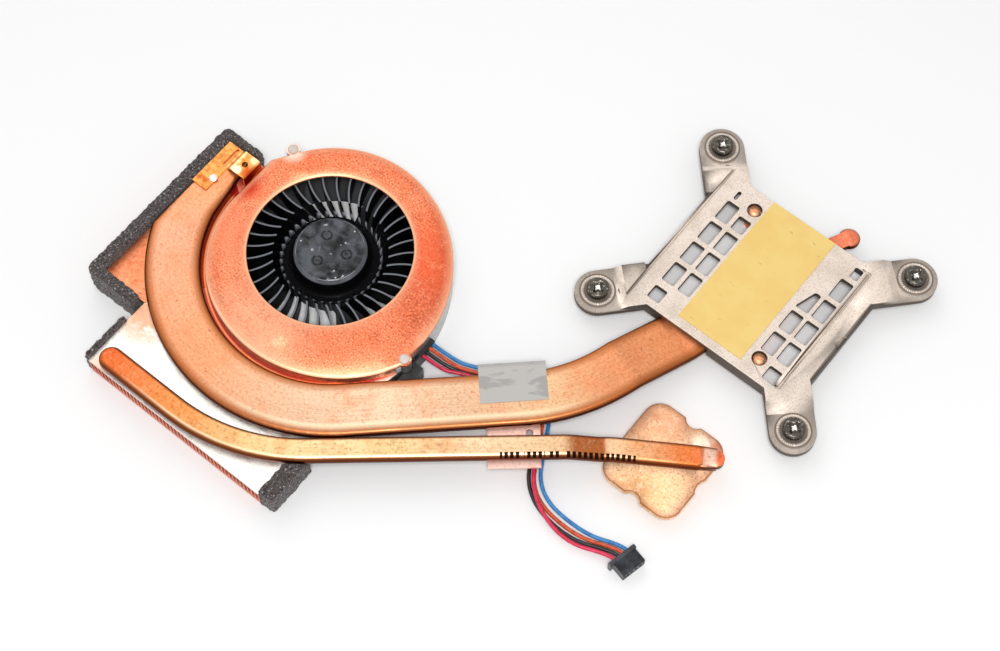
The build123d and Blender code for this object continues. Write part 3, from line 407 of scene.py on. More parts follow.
@dataclass(frozen=True)
class BrushedPipe(Finish):
    """Flattened copper pipe brushed along its run, with a colour that drifts along it, painted shade on its
    rounded sides and on faces tilted away from up, and a painted highlight line.
    """

    drift: tuple[tuple[float, Colour], ...]
    # side darkens the brushing streaks and grain, and is also painted shade on the rounded sides.
    side: Colour
    blotch: Colour
    length_mm: float
    half_width_mm: float
    glint_run: Pair
    ticks: Pair | None = None
    pale: Colour = (255, 236, 208)
    spot: Colour = (120, 66, 44)
    glint: Colour = (255, 238, 200)
    # Painted shade on faces that tilt away from up.
    under: Colour = (92, 40, 18)
    ink: Colour = (30, 18, 14)
    glint_line: float = -0.66
    tick_pitch_mm: float = 1.36
    tick_width: float = 0.64
    tick_band: Pair = (-0.95, -0.52)

    def apply(self, coat: Coat) -> None:
        """Lay the finish on by the pipe's run map, whose U lies along it and V across it in metres.

        Args:
            coat: The material.
        """
        run = coat.node("UVMap", uv_map="run").outputs[0]
        along = coat.maths("DIVIDE", coat.axis("X", run), self.length_mm * MM)
        across = coat.maths("DIVIDE", coat.axis("Y", run), self.half_width_mm * MM)
        streaks = coat.noise(1.0, 5.0, coat.scaled((90.0, 5200.0, 1.0), run))
        grain = coat.noise(1400.0, 6.0)
        coat.colour = coat.ladder(along, self.drift)
        coat.tint(self.blotch, coat.noise(170.0, 5.0), 0.5, 0.66, 0.38)
        coat.tint(self.side, streaks, 0.5, 0.78, 0.55)
        coat.tint(self.side, grain, 0.52, 0.68, 0.46)
        coat.tint(self.pale, grain, 0.46, 0.3, 0.16)
        coat.tint(self.spot, coat.noise(800.0), 0.66, 0.71, 0.5)
        first, last = self.glint_run
        line = coat.ramp(coat.off(across, self.glint_line), 0.16, 0.04, (0.0, 0.6))
        start = coat.ramp(along, first, first + 0.1)
        stop = coat.ramp(along, last + 0.06, last)
        coat.blend(coat.times(line, start, stop), self.glint)
        # Painted shade on the pipe's rounded sides.
        coat.tint(self.side, coat.off(across, 0.0), 0.6, 0.86, 0.9)
        # Painted shade where the surface tilts away from up.
        coat.tint(self.under, coat.upward(), 0.97, 0.45, 0.95)
        if self.ticks:
            coat.blend(self.printed(coat, run, across), self.ink)
        coat.surface(coat.ramp(streaks, 0.3, 0.7, (0.3, 0.46)), 1.0)
        coat.relief(coat.maths("ADD", streaks, grain), 0.012)

    def printed(self, coat: Coat, run: Socket, across: Socket) -> Socket:
        """Plain dark ticks of uneven width along the pipe's lower edge.

        Args:
            coat: The material.
            run: The run map's coordinates.
            across: Place across the pipe, from -1 to 1.

        Returns:
            How much of the tick colour shows.
        """
        spot = coat.axis("X", run)
        beat = coat.maths("FRACT", coat.maths("DIVIDE", spot, self.tick_pitch_mm * MM))
        chance = coat.noise(1.0, 0.0, coat.scaled((330.0, 0.0, 0.0), run))
        bars = coat.times(coat.below(beat, self.tick_width), coat.above(chance, 0.4))
        first, last = (edge * MM for edge in self.ticks)
        low, high = self.tick_band
        inside = coat.times(coat.above(spot, first), coat.below(spot, last))
        return coat.times(bars, inside, coat.above(across, low), coat.below(across, high))


@dataclass(frozen=True)
class CoatedSheet(Finish):
    """Sheet wetted with solder: pale, smeared, with copper showing through in places."""

    marks: tuple[Mark, ...]
    pale: Colour = (247, 243, 236)
    grey: Colour = (196, 188, 180)
    fleck: Colour = (150, 120, 96)

    def apply(self, coat: Coat) -> None:
        """Lay the solder on.

        Args:
            coat: The material.
        """
        smear = coat.noise(1.0, 4.0, coat.scaled((140.0, 420.0, 140.0), coat.turned(35.0)))
        coat.colour = self.pale
        coat.tint(self.grey, smear, 0.55, 0.8, 0.55)
        coat.tint(self.fleck, coat.noise(1700.0, 2.0), 0.62, 0.7, 0.45)
        coat.mark(self.marks)
        coat.surface(coat.ramp(smear, 0.3, 0.7, (0.28, 0.5)), 0.9)
        coat.relief(coat.noise(900.0, 4.0), 0.06, 0.1)


@dataclass(frozen=True)
class CastAlloy(Finish):
    """Die cast light alloy with a fine sandy grain and scratches, with painted shade on its walls and slopes,
    in its grooves and seats and round the screws' collars.
    """

    groove_level_mm: float
    seat_level_mm: float
    rings: tuple[RingMark, ...]
    pale: Colour = (234, 219, 206)
    dull: Colour = (208, 192, 176)
    sand: Colour = (146, 130, 116)
    scratch: Colour = (250, 246, 240)
    shade: Colour = (74, 62, 52)
    slack_mm: float = 0.1

    def apply(self, coat: Coat) -> None:
        """Lay the alloy on.

        Args:
            coat: The material.
        """
        clouds = coat.noise(180.0, 5.0)
        grain = coat.noise(3200.0, 5.0)
        lines = coat.noise(1.0, 2.0, coat.scaled((3000.0, 90.0, 300.0), coat.turned(28.0)))
        coat.colour = self.pale
        coat.tint(self.dull, clouds, 0.42, 0.7, 0.7)
        coat.tint(self.sand, grain, 0.5, 0.66, 0.55)
        coat.tint(self.scratch, lines, 0.66, 0.74, 0.4)
        # Painted shade on walls and slopes.
        coat.tint(self.shade, coat.upward(), 0.88, 0.4, 0.95)
        coat.mark(self.rings)
        # Painted shade on the floors of the grooves and the screws' seats.
        coat.blend(self.sunk(coat), self.shade)
        coat.surface(coat.ramp(clouds, 0.3, 0.7, (0.48, 0.64)), 0.4)
        coat.relief(grain, 0.05, 0.08)

    def sunk(self, coat: Coat) -> Socket:
        """Share of painted shade on the flat floors of the grooves and of the screws' seats.

        Args:
            coat: The material.

        Returns:
            How much of the shade shows.
        """
        height = coat.axis("Z")
        groove = coat.below(coat.off(height, self.groove_level_mm * MM), self.slack_mm * MM)
        seat = coat.below(height, (self.seat_level_mm + self.slack_mm) * MM)
        flat = coat.above(coat.upward(), 0.99)
        return coat.times(coat.maths("MAXIMUM", groove, seat), flat, 0.9)


@dataclass(frozen=True)
class Moulded(Finish):
    """Moulded plastic with a fine grain, slight cloudiness and dust."""

    colour: Colour
    cloud: Colour
    roughness: float = 0.45
    dust_share: float = 0.15
    edge_mm: float = 0.12
    see_through: float = 0.0
    dust: Colour = (170, 165, 160)

    def apply(self, coat: Coat) -> None:
        """Lay the plastic on.

        Args:
            coat: The material.
        """
        clouds = coat.noise(260.0, 4.0)
        coat.colour = self.colour
        coat.tint(self.cloud, clouds, 0.4, 0.75)
        coat.tint(self.dust, coat.noise(2400.0, 2.0), 0.66, 0.74, self.dust_share)
        rough = coat.ramp(clouds, 0.3, 0.7, (self.roughness - 0.06, self.roughness + 0.1))
        coat.surface(rough, Subsurface_Weight=self.see_through)
        coat.relief(coat.noise(3600.0), 0.015, self.edge_mm)


@dataclass(frozen=True)
class BladePlastic(Finish):
    """Glossy black moulding with a smudged hub, painted highlights on the hub's rounded edges, its dots, the
    flange rim and the blades' upper edges, and painted shade in the hub's dimples.
    """

    rim_mm: float = 9.3
    blades_mm: float = 12.6
    hub_level_mm: float = 9.7
    dots_mm: float = 7.2
    black: Colour = (9, 9, 11)
    smudge: Colour = (88, 91, 98)
    # Colour of the painted highlights on the hub's edges, the blades' tops and the flange rim.
    edge: Colour = (156, 160, 168)
    dot_highlight: Colour = (236, 238, 242)
    dust: Colour = (190, 190, 192)

    def apply(self, coat: Coat) -> None:
        """Lay the plastic on.

        Args:
            coat: The material.
        """
        radius = coat.reach()
        slope = coat.upward()
        hub = coat.below(radius, self.rim_mm * MM)
        smear = coat.ramp(coat.noise(190.0), 0.42, 0.62, (0.0, 0.95))
        coat.colour = self.black
        coat.blend(coat.times(smear, hub), self.smudge)
        # Painted highlight on the hub's tilted edges.
        hub_edge_highlight = coat.ramp(slope, 0.9, 0.55, (0.0, 0.35))
        coat.blend(coat.times(hub_edge_highlight, hub), self.edge)
        # Painted shade, black, in the hub's dimple floors, and painted highlight dots further out.
        low = coat.below(coat.axis("Z"), self.hub_level_mm * MM)
        pit_shade_and_dots = coat.times(low, coat.ramp(slope, 0.8, 0.95), hub)
        dots = coat.above(radius, self.dots_mm * MM)
        coat.blend(pit_shade_and_dots, coat.mix(dots, self.black, self.dot_highlight))
        # Painted highlight on the blades' upper edges.
        blades = coat.above(radius, self.blades_mm * MM)
        blade_top_highlight = coat.times(coat.ramp(slope, 0.965, 0.995), blades, 0.55)
        coat.blend(blade_top_highlight, self.edge)
        # Painted highlight ring along the flange rim.
        off = coat.off(radius, self.blades_mm * MM)
        coat.tint(self.edge, off, 0.45 * MM, 0.15 * MM, 0.85)
        coat.tint(self.dust, coat.noise(2400.0, 2.0), 0.7, 0.76, 0.25)
        shine = coat.ramp(hub, 0.0, 1.0, (0.03, 0.28))
        coat.surface(coat.ramp(hub, 0.0, 1.0, (0.36, 0.18)), Specular_IOR_Level=shine)
        coat.relief(coat.noise(260.0, 2.0), 0.12, 0.08)


class Lay(Enum):
    """Which way a metal's fine lines run, as grains to the metre along each axis."""

    ALONG_X = (60.0, 2600.0, 2600.0)
    ALL_WAYS = (900.0, 900.0, 900.0)


@dataclass(frozen=True)
class FineLined(Finish):
    """Rolled, turned or bent metal with fine lines."""

    colour: Colour
    shade: Colour
    lay: Lay = Lay.ALL_WAYS
    roughness: Pair = (0.28, 0.45)
    edge_mm: float = 0.12
    marks: tuple[Mark, ...] = ()

    def apply(self, coat: Coat) -> None:
        """Lay the metal on.

        Args:
            coat: The material.
        """
        lines = coat.noise(1.0, 4.0, coat.scaled(self.lay.value))
        coat.colour = self.colour
        coat.tint(self.shade, lines, 0.45, 0.75, 0.8)
        coat.tint(self.shade, coat.noise(210.0, 4.0), 0.52, 0.72, 0.35)
        coat.mark(self.marks)
        coat.surface(coat.ramp(lines, 0.3, 0.7, self.roughness), 1.0)
        coat.relief(lines, 0.02, self.edge_mm)


@dataclass(frozen=True)
class TrayMetal(Finish):
    """Bare pressed sheet; painted shade turns the floor inside the round housing, and the walls that face
    inward, near-black and matt.
    """

    well_mm: float
    colour: Colour = (190, 191, 189)
    shade: Colour = (150, 150, 150)
    well_shade: Colour = (22, 23, 27)

    def apply(self, coat: Coat) -> None:
        """Lay the metal on.

        Args:
            coat: The material.
        """
        lines = coat.noise(900.0, 4.0)
        coat.colour = self.colour
        coat.tint(self.shade, lines, 0.45, 0.75, 0.8)
        vectors = {0: coat.scaled(IN_PLAN), 1: coat.normal()}
        outward = coat.node("VectorMath", vectors, operation="DOT_PRODUCT").outputs["Value"]
        walls = coat.below(outward, -0.004)
        close = coat.below(coat.reach(), self.well_mm * MM)
        floor = coat.times(close, coat.above(coat.upward(), -0.5))
        dark = coat.maths("MAXIMUM", walls, floor)
        bare = coat.ramp(dark, 0.0, 1.0, (1.0, 0.0))
        # Painted shade: near-black, matt and not metallic on the inward walls and the inner floor.
        coat.blend(dark, self.well_shade)
        coat.surface(coat.ramp(dark, 0.0, 1.0, (0.42, 0.6)), bare)
        coat.relief(lines, 0.02, 0.12)


@dataclass(frozen=True)
class DarkHead(Finish):
    """Dark plated screw whose driver recess is rubbed bright."""

    face_level_mm: float
    dark: Colour = (84, 79, 72)
    bright: Colour = (250, 244, 236)

    def apply(self, coat: Coat) -> None:
        """Lay the plating on.

        Args:
            coat: The material.
        """
        sunk = coat.below(coat.axis("Z"), self.face_level_mm * MM)
        rubbed = coat.times(sunk, coat.above(coat.upward(), 0.9))
        worn = coat.ramp(coat.noise(1500.0), 0.56, 0.7, (0.0, 0.4))
        coat.colour = self.dark
        coat.blend(coat.maths("MAXIMUM", rubbed, worn), self.bright)
        coat.surface(coat.ramp(coat.noise(1800.0), 0.3, 0.7, (0.22, 0.4)), 1.0)
        coat.relief(coat.noise(3000.0), 0.02, 0.12)


@dataclass(frozen=True)
class OpenFoam(Finish):
    """Dark open-celled foam with pale torn cell walls."""

    dark: Colour = (26, 23, 23)
    mid: Colour = (80, 70, 68)
    pale: Colour = (228, 224, 220)
    cells_per_m: float = 1500.0

    def apply(self, coat: Coat) -> None:
        """Lay the foam's cells on.

        Args:
            coat: The material.
        """
        inputs = {"Vector": coat.place, "Scale": self.cells_per_m}
        cells = coat.node("TexVoronoi", inputs).outputs["Distance"]
        coat.colour = self.dark
        coat.tint(self.mid, cells, 0.15, 0.6)
        coat.tint(self.pale, coat.noise(1900.0), 0.58, 0.68, 0.6)
        coat.surface(0.95, Sheen_Weight=0.3)
        coat.relief(cells, 0.5)


@dataclass(frozen=True)
class ClothTape(Finish):
    """Grey cloth tape: a fine weave under a slightly shiny film with a smeared patch."""

    angle: float
    colour: Colour = (186, 183, 178)
    thread: Colour = (225, 223, 219)
    smear: Colour = (152, 150, 146)
    weave_per_m: float = 14000.0

    def apply(self, coat: Coat) -> None:
        """Lay the cloth on.

        Args:
            coat: The material.
        """
        square = coat.turned(-self.angle)
        weave = coat.times(self.threads(coat, square, "X"), self.threads(coat, square, "Y"))
        coat.colour = self.colour
        coat.tint(self.thread, weave, -1.0, 1.0, 0.18)
        smears = coat.noise(150.0, 3.0, coat.scaled((0.55, 1.3, 1.0), square))
        patch = coat.ramp(smears, 0.53, 0.57)
        coat.blend(coat.times(patch, 0.7), self.smear)
        coat.surface(coat.ramp(patch, 0.0, 1.0, (0.5, 0.34)))
        coat.relief(weave, 0.03, 0.1)

    def threads(self, coat: Coat, square: Socket, letter: str) -> Socket:
        """Rows of threads along one direction."""
        return coat.maths("SINE", coat.times(coat.axis(letter, square), self.weave_per_m))


@dataclass(frozen=True)
class SoftFilm(Finish):
    """Yellow film over soft paste: matt, with faint dents and small creases darkened by painted shade."""

    colour: Colour = (242, 208, 126)
    deep: Colour = (236, 198, 112)
    crease_shade: Colour = (150, 112, 52)

    def apply(self, coat: Coat) -> None:
        """Lay the film on.

        Args:
            coat: The material.
        """
        coat.colour = self.colour
        coat.tint(self.deep, coat.noise(120.0), 0.4, 0.7)
        dent = coat.ramp(coat.noise(1.0, 2.0, coat.scaled((330.0, 900.0, 1.0))), 0.68, 0.74)
        # Painted shade in the creases.
        coat.blend(coat.times(dent, 0.45), self.crease_shade)
        coat.surface(0.55)
        coat.relief(coat.maths("ADD", coat.noise(400.0), dent), 0.05, 0.05)


@dataclass(frozen=True)
class WireJacket(Finish):
    """Coloured soft jacket of a thin wire."""

    colour: Colour
    shade: Colour

    def apply(self, coat: Coat) -> None:
        """Lay the jacket on.

        Args:
            coat: The material.
        """
        coat.colour = self.colour
        coat.tint(self.shade, coat.noise(700.0), 0.42, 0.7)
        coat.surface(coat.ramp(coat.noise(1200.0, 2.0), 0.3, 0.7, (0.32, 0.46)))
        coat.relief(coat.noise(2500.0, 2.0), 0.02)


# A stain gives its centre, radius and colour, then strength, grains to the metre, cover and core if needed.
COVER_STAINS = (
    Stain((0.0, -27.0), 17.0, (242, 192, 156), 0.42, 900.0, 0.62),
    Stain((-20.0, -12.0), 10.0, (232, 140, 104), 0.5, 300.0, 0.6),
    Stain((29.0, 2.0), 11.0, (150, 58, 38), 0.6, 1300.0, 0.5),
    Stain((25.0, 15.0), 17.0, (212, 86, 52), 0.7, 500.0, 0.6),
    # The dark red patch at the cover's left edge is painted shade, running on from the gap beside the wide
    # pipe.
    Stain((-28.4, 0.2), 5.0, (196, 50, 20), 0.95, 500.0, 0.74),
    Stain((-26.0, 15.7), 4.4, (246, 222, 206), 0.85, 700.0, 0.9),
    Stain((7.0, -27.0), 2.4, (246, 222, 176), 0.6, 1400.0, 0.5),
)

# Each step of a drift gives its place along the pipe, from 0 to 1, and its colour.
WIDE_DRIFT = (
    (0.0, (224, 150, 90)), (0.12, (230, 164, 132)), (0.26, (228, 156, 112)),
    (0.37, (224, 184, 152)), (0.46, (232, 204, 172)), (0.54, (222, 182, 148)),
    (0.62, (230, 190, 146)), (0.68, (222, 150, 106)), (0.76, (238, 152, 100)),
    (0.86, (236, 128, 88)), (1.0, (240, 132, 100)),
)

# Along the narrow pipe the pale stretch from 0.28 to 0.62 is partly a painted highlight, and the dark brown
# band from 0.765 to 0.808 is painted shade on the slope where the pipe steps down.
NARROW_TONE_AND_LIGHT = (
    (0.0, (216, 90, 44)), (0.07, (232, 126, 72)), (0.16, (222, 148, 84)),
    (0.28, (236, 196, 138)), (0.4, (240, 212, 160)), (0.5, (230, 198, 142)),
    (0.62, (238, 212, 172)), (0.745, (230, 190, 146)), (0.765, (178, 104, 58)),
    (0.808, (172, 98, 54)), (0.814, (244, 200, 156)), (0.866, (232, 176, 128)),
    (0.92, (228, 130, 72)), (0.955, (236, 122, 66)), (0.961, (250, 206, 180)),
    (0.974, (250, 210, 186)), (0.980, (232, 110, 66)), (1.0, (236, 122, 76)),
)

CHIP_STAINS = (
    Stain((92.0, 17.0), 9.0, (238, 166, 122), 0.5, 420.0, 0.6),
    Stain((103.5, 17.5), 5.0, (255, 244, 230), 0.85, 400.0, 0.62),
    Stain((98.0, -1.0), 9.0, (214, 170, 112), 0.7, 900.0, 0.56),
    Stain((105.0, 21.0), 4.0, (222, 120, 74), 0.6, 300.0, 0.55),
)

TIN_STAINS = (
    Stain((-27.0, -36.0), 7.0, (222, 130, 84), 0.6),
    Stain((-24.0, -42.0), 9.0, (236, 160, 112), 0.8, 380.0, 0.62),
    Stain((24.0, -47.0), 5.0, (214, 96, 52), 0.6, 420.0, 0.5),
    Stain((-24.0, -58.0), 4.5, (240, 176, 134), 0.6, 400.0, 0.6),
)

# The pale patches on the clip are painted highlights; the dark ones are painted shade at its slot and lower
# edge.
CLIP_LIGHT_AND_SHADE = (
    Stain((-38.5, -5.5), 3.0, (176, 84, 34), 0.6),
    *(Stain((-34.8, y), 1.4, (255, 232, 168), 0.95, 500.0, 1.2) for y in (2.0, 4.0, 6.0, 8.0)),
    Stain((-31.0, 6.8), 1.6, (255, 236, 186), 0.7, 900.0, 0.62, 0.5),
    Stain((-33.0, 1.9), 1.6, (255, 242, 200), 0.9, 900.0, 0.7, 0.5),
    Stain((-30.2, 3.0), 2.0, (196, 76, 28), 0.9, 500.0, 1.2),
)


@dataclass
class Skins:
    """Makes dressed skins of the CAD nodes and fastens them to their bodies."""

    frame: dict
    sharp_degrees: float = 32.0
    merge_m: float = 1e-6
    bodies: dict[str, str] = field(init=False)
    slots: dict[str, str] = field(init=False)

    def __post_init__(self) -> None:
        """Look up each node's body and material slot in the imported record."""
        record = self.frame["record"]
        groups = record["behaviour"]["bodies"]
        self.bodies = {node: body for body, members in groups.items() for node in members}
        self.slots = {row["node"]: row["material_slot"] for row in record["subparts"]}

    def copy(self, node: str) -> Piece:
        """Copy a CAD node's mesh, merged and smooth where it curves.

        Args:
            node: The CAD node's name.

        Returns:
            A new object in the same place.
        """
        mesh = bpy.data.meshes.new(f"{node}_skin")
        shape = bmesh.new()
        shape.from_mesh(self.frame["nodes"][node].data)
        bmesh.ops.remove_doubles(shape, verts=shape.verts, dist=self.merge_m)
        for face in shape.faces:
            face.smooth = True
        shape.to_mesh(mesh)
        shape.free()
        mesh.set_sharp_from_angle(angle=math.radians(self.sharp_degrees))
        return stand(mesh.name, mesh)

    def fasten(self, piece: Piece, node: str, material: Material) -> Piece:
        """Give a piece its finish and let it stand for a CAD node on that node's body.

        Args:
            piece: The finished piece.
            node: The CAD node it stands for.
            material: Its finish.

        Returns:
            The same piece.
        """
        piece.data.materials.clear()
        piece.data.materials.append(material)
        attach(piece, self.bodies[node])
        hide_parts(node)
        LOG.info("%s rides on %s", piece.name, self.bodies[node])
        return piece

    def dress(self, finish: Finish, *nodes: str) -> list[Piece]:
        """Skin several nodes with one finish."""
        material = finish.build()
        return [self.fasten(self.copy(node), node, material) for node in nodes]


def map_run(piece: Piece, middle: list[Pair]) -> None:
    """Map a bent pipe by UVs in metres: U along its middle line, V to the left of it.

    Args:
        piece: The pipe's skin.
        middle: Points of the middle line.
    """
    line = np.array(middle) * MM
    legs = np.diff(line, axis=0)
    sizes = np.linalg.norm(legs, axis=1)
    starts = np.concatenate(([0.0], np.cumsum(sizes)[:-1]))
    units = legs / sizes[:, None]
    flat = np.array([vertex.co[:2] for vertex in piece.data.vertices])
    offsets = flat[:, None, :] - line[None, :-1, :]
    along = np.clip((offsets * units).sum(2), 0.0, sizes)
    gaps = np.linalg.norm(offsets - along[..., None] * units, axis=2)
    leg = gaps.argmin(1)
    rows = np.arange(len(flat))
    side = units[leg, 0] * offsets[rows, leg, 1] - units[leg, 1] * offsets[rows, leg, 0]
    spots = np.stack((starts[leg] + along[rows, leg], side), axis=1)
    corners = np.array([loop.vertex_index for loop in piece.data.loops])
    layer = piece.data.uv_layers.new(name="run")
    layer.data.foreach_set("uv", spots[corners].astype(np.float32).ravel())


def arc(centre: Point, radius: float, start: float, end: float, steps: int) -> list[Pair]:
    """Points along an arc in plan, angles in degrees."""
    angles = [math.radians(start + (end - start) * i / steps) for i in range(steps + 1)]
    return [(centre[0] + radius * math.cos(a), centre[1] + radius * math.sin(a)) for a in angles]


@dataclass
class FanUnit:
    """Blower: tray, copper cover, impeller and the motor inside its hub."""

    skins: Skins
    rim_centre: Pair = (2.5, 2.25)
    # Radius of the painted highlight along the cover's rim.
    rim_highlight_radius: float = 34.95
    intake_line: float = 21.3
    well_radius: float = 28.5

    def dress(self) -> None:
        """Skin every piece of the fan."""
        cover = StainedCopper(
            "cover_copper", (230, 122, 82), (248, 190, 152), (150, 56, 34), pale_share=0.35, speck_share=0.85,
            roughness=(0.42, 0.6), grains_per_m=2100.0,
            marks=(
                *COVER_STAINS,
                # Painted highlight along the cover's rim.
                RingMark(self.rim_centre, self.rim_highlight_radius, (252, 216, 176), 0.4),
                RingMark((0.0, 0.0), self.intake_line, (250, 176, 134), 0.35),
            ),
        )
        self.skins.dress(cover, "fan_cover")
        self.skins.dress(TrayMetal("tray_metal", self.well_radius), "fan_base")
        self.skins.dress(BladePlastic("impeller_plastic"), "impeller")
        posts = Moulded("rivet_white", (240, 222, 208), (206, 164, 140), 0.4, 0.2, 0.2, see_through=0.2)
        self.skins.dress(posts, "cover_rivets")
        self.skins.dress(Moulded("gate_plastic", (26, 26, 28), (44, 43, 44), 0.4, 0.2), "wire_gate")
        self.dress_motor()

    def dress_motor(self) -> None:
        """Skin the motor, which shows only when the fan is taken apart."""
        steel = FineLined("motor_steel", (170, 171, 174), (120, 120, 124))
        self.skins.dress(steel, "rotor_yoke", "motor_shaft", "stator_core")
        self.skins.dress(Moulded("magnet", (52, 50, 50), (70, 68, 66), 0.6), "rotor_magnet")
        self.skins.dress(FineLined("bearing_bronze", (176, 128, 78), (130, 88, 50)), "sleeve_bearing")
        self.skins.dress(FineLined("coil_copper", (196, 106, 54), (140, 62, 26), Lay.ALONG_X), "stator_coils")
        self.skins.dress(Moulded("board_green", (34, 92, 56), (24, 72, 44), 0.35), "motor_board")


@dataclass
class HeatPath:
    """Pipes, plates, fins and the brass clip."""

    skins: Skins
    wide_width: float = 14.0
    wide_centre: Pair = (2.5, -1.15)
    wide_arc: float = 40.6
    wide_start_angle: float = 168.0
    wide_run_angle: float = 43.0
    wide_corner: Pair = (71.4, 7.6)
    wide_bend: float = 49.0
    wide_last_angle: float = 72.5
    wide_reach: float = 88.0
    wide_length: float = 246.5
    narrow_width: float = 6.2
    narrow_start: Pair = (-25.5, -55.9)
    narrow_corner: Pair = (86.6, 2.95)
    narrow_run_angle: float = 39.95
    narrow_bend: float = 51.0
    narrow_end: Pair = (109.6, 17.83)
    narrow_length: float = 161.0
    # How far the painted gap shade reaches past the pipe's inner edge, and how far inside that edge the
    # painted highlight line lies.
    shade_past: float = 0.6
    highlight_inset: float = 0.75

    def wide_middle(self) -> list[Pair]:
        """Middle line of the wide pipe.

        Returns:
            Points from its clip to its pinched tip.
        """
        last = math.radians(self.wide_last_angle)
        half_turn = math.radians(self.wide_last_angle - self.wide_run_angle) / 2
        ahead = Vector((math.cos(last), math.sin(last)))
        left = Vector((-ahead.y, ahead.x))
        corner = Vector(self.wide_corner)
        pivot = corner + ahead * (self.wide_bend * math.tan(half_turn)) + left * self.wide_bend
        tip = corner + ahead * self.wide_reach
        run = 270.0 + self.wide_run_angle
        round_fan = arc(self.wide_centre, self.wide_arc, self.wide_start_angle, run, steps=36)
        bend = arc(pivot, self.wide_bend, self.wide_run_angle - 90.0, self.wide_last_angle - 90.0, steps=8)
        return [*round_fan, *bend, (tip.x, tip.y)]

    def narrow_middle(self) -> list[Pair]:
        """Middle line of the narrow pipe.

        Returns:
            Points from its closed end to its pinched tip.
        """
        slope = math.radians(self.narrow_run_angle)
        rise = self.narrow_corner[1] - self.narrow_start[1]
        first_x = self.narrow_corner[0] - rise / math.tan(slope)
        reach = self.narrow_bend * math.tan(slope / 2)
        pivot = (first_x - reach, self.narrow_start[1] + self.narrow_bend)
        bend = arc(pivot, self.narrow_bend, -90.0, self.narrow_run_angle - 90.0, steps=10)
        return [self.narrow_start, *bend, self.narrow_corner, self.narrow_end]

    def dress(self) -> None:
        """Skin every piece of the heat path."""
        wide = BrushedPipe(
            "wide_pipe_copper", WIDE_DRIFT, (164, 92, 46), (236, 138, 92), self.wide_length,
            self.wide_width / 2, glint_run=(0.28, 0.6),
        )
        narrow = BrushedPipe(
            "narrow_pipe_copper", NARROW_TONE_AND_LIGHT, (140, 70, 30), (226, 130, 62), self.narrow_length,
            self.narrow_width / 2, glint_run=(0.04, 0.72), ticks=(105.0, 138.0),
        )
        pipes = (("pipe_cpu", self.wide_middle(), wide), ("pipe_gpu", self.narrow_middle(), narrow))
        for node, middle, finish in pipes:
            piece = self.skins.copy(node)
            map_run(piece, middle)
            self.skins.fasten(piece, node, finish.build())
        self.dress_plates()
        self.dress_clip()

    def gap_painted_shade(self) -> tuple[Mark, ...]:
        """Painted dark red shade in the gap between the wide pipe and the fan cover and beside the clip, with
        a painted highlight line in the gap.

        Returns:
            The marks for the plates below that gap.
        """
        edge = self.wide_arc - self.wide_width / 2
        return (
            # The first and last marks are painted dark red shade; the ring is a painted highlight line.
            Stain(self.wide_centre, edge + self.shade_past, (176, 46, 24), 0.95, 300.0, 1.3, 0.98),
            RingMark(self.wide_centre, edge - self.highlight_inset, (246, 150, 96), 0.3),
            Stain((-31.8, 0.6), 4.6, (168, 28, 30), 0.95, 300.0, 1.3, 0.7),
        )

    def dress_plates(self) -> None:
        """Skin the plates and the fin stacks."""
        copper_plate = StainedCopper(
            "plate_copper", (238, 142, 98), (246, 190, 146), (190, 82, 46), pale_share=0.6, speck_share=0.5,
            # Painted shade and a painted highlight line in the gap by the wide pipe.
            edge_mm=0.1, marks=self.gap_painted_shade(),
        )
        self.skins.dress(copper_plate, "top_plate_a", "cpu_block")
        bridge = StainedCopper(
            "bridge_copper", (250, 208, 192), (255, 228, 216), (206, 112, 88), pale_share=0.6,
            speck_share=0.35,
        )
        self.skins.dress(bridge, "bridge_plate")
        chip_plate = StainedCopper(
            "chip_plate_copper", (250, 206, 164), (253, 232, 202), (172, 104, 66), pale_share=0.8,
            # The chip plate's brown edge colour is painted shade on its tilted edges.
            speck_share=0.65, roughness=(0.62, 0.78), edge_mm=0.3, grains_per_m=2000.0, edge=(150, 82, 48),
            marks=CHIP_STAINS,
        )
        self.skins.dress(chip_plate, "gpu_plate")
        # The tinned plate also carries the painted gap shade and highlight line.
        tinned = CoatedSheet("tinned_plate", (*TIN_STAINS, *self.gap_painted_shade()))
        self.skins.dress(tinned, "top_plate_b")
        fins = FineLined("fin_copper", (240, 178, 156), (196, 104, 82), roughness=(0.4, 0.55), edge_mm=0.0)
        self.skins.dress(fins, "fin_stack_a", "fin_stack_b")

    def dress_clip(self) -> None:
        """Skin the brass clip and its rivet."""
        clip = FineLined(
            "clip_brass", (236, 158, 86), (160, 76, 30), roughness=(0.24, 0.4), edge_mm=0.15,
            marks=CLIP_LIGHT_AND_SHADE,
        )
        self.skins.dress(clip, "pipe_clip")
        self.skins.dress(FineLined("rivet_metal", (244, 238, 226), (206, 190, 170)), "clip_rivet")


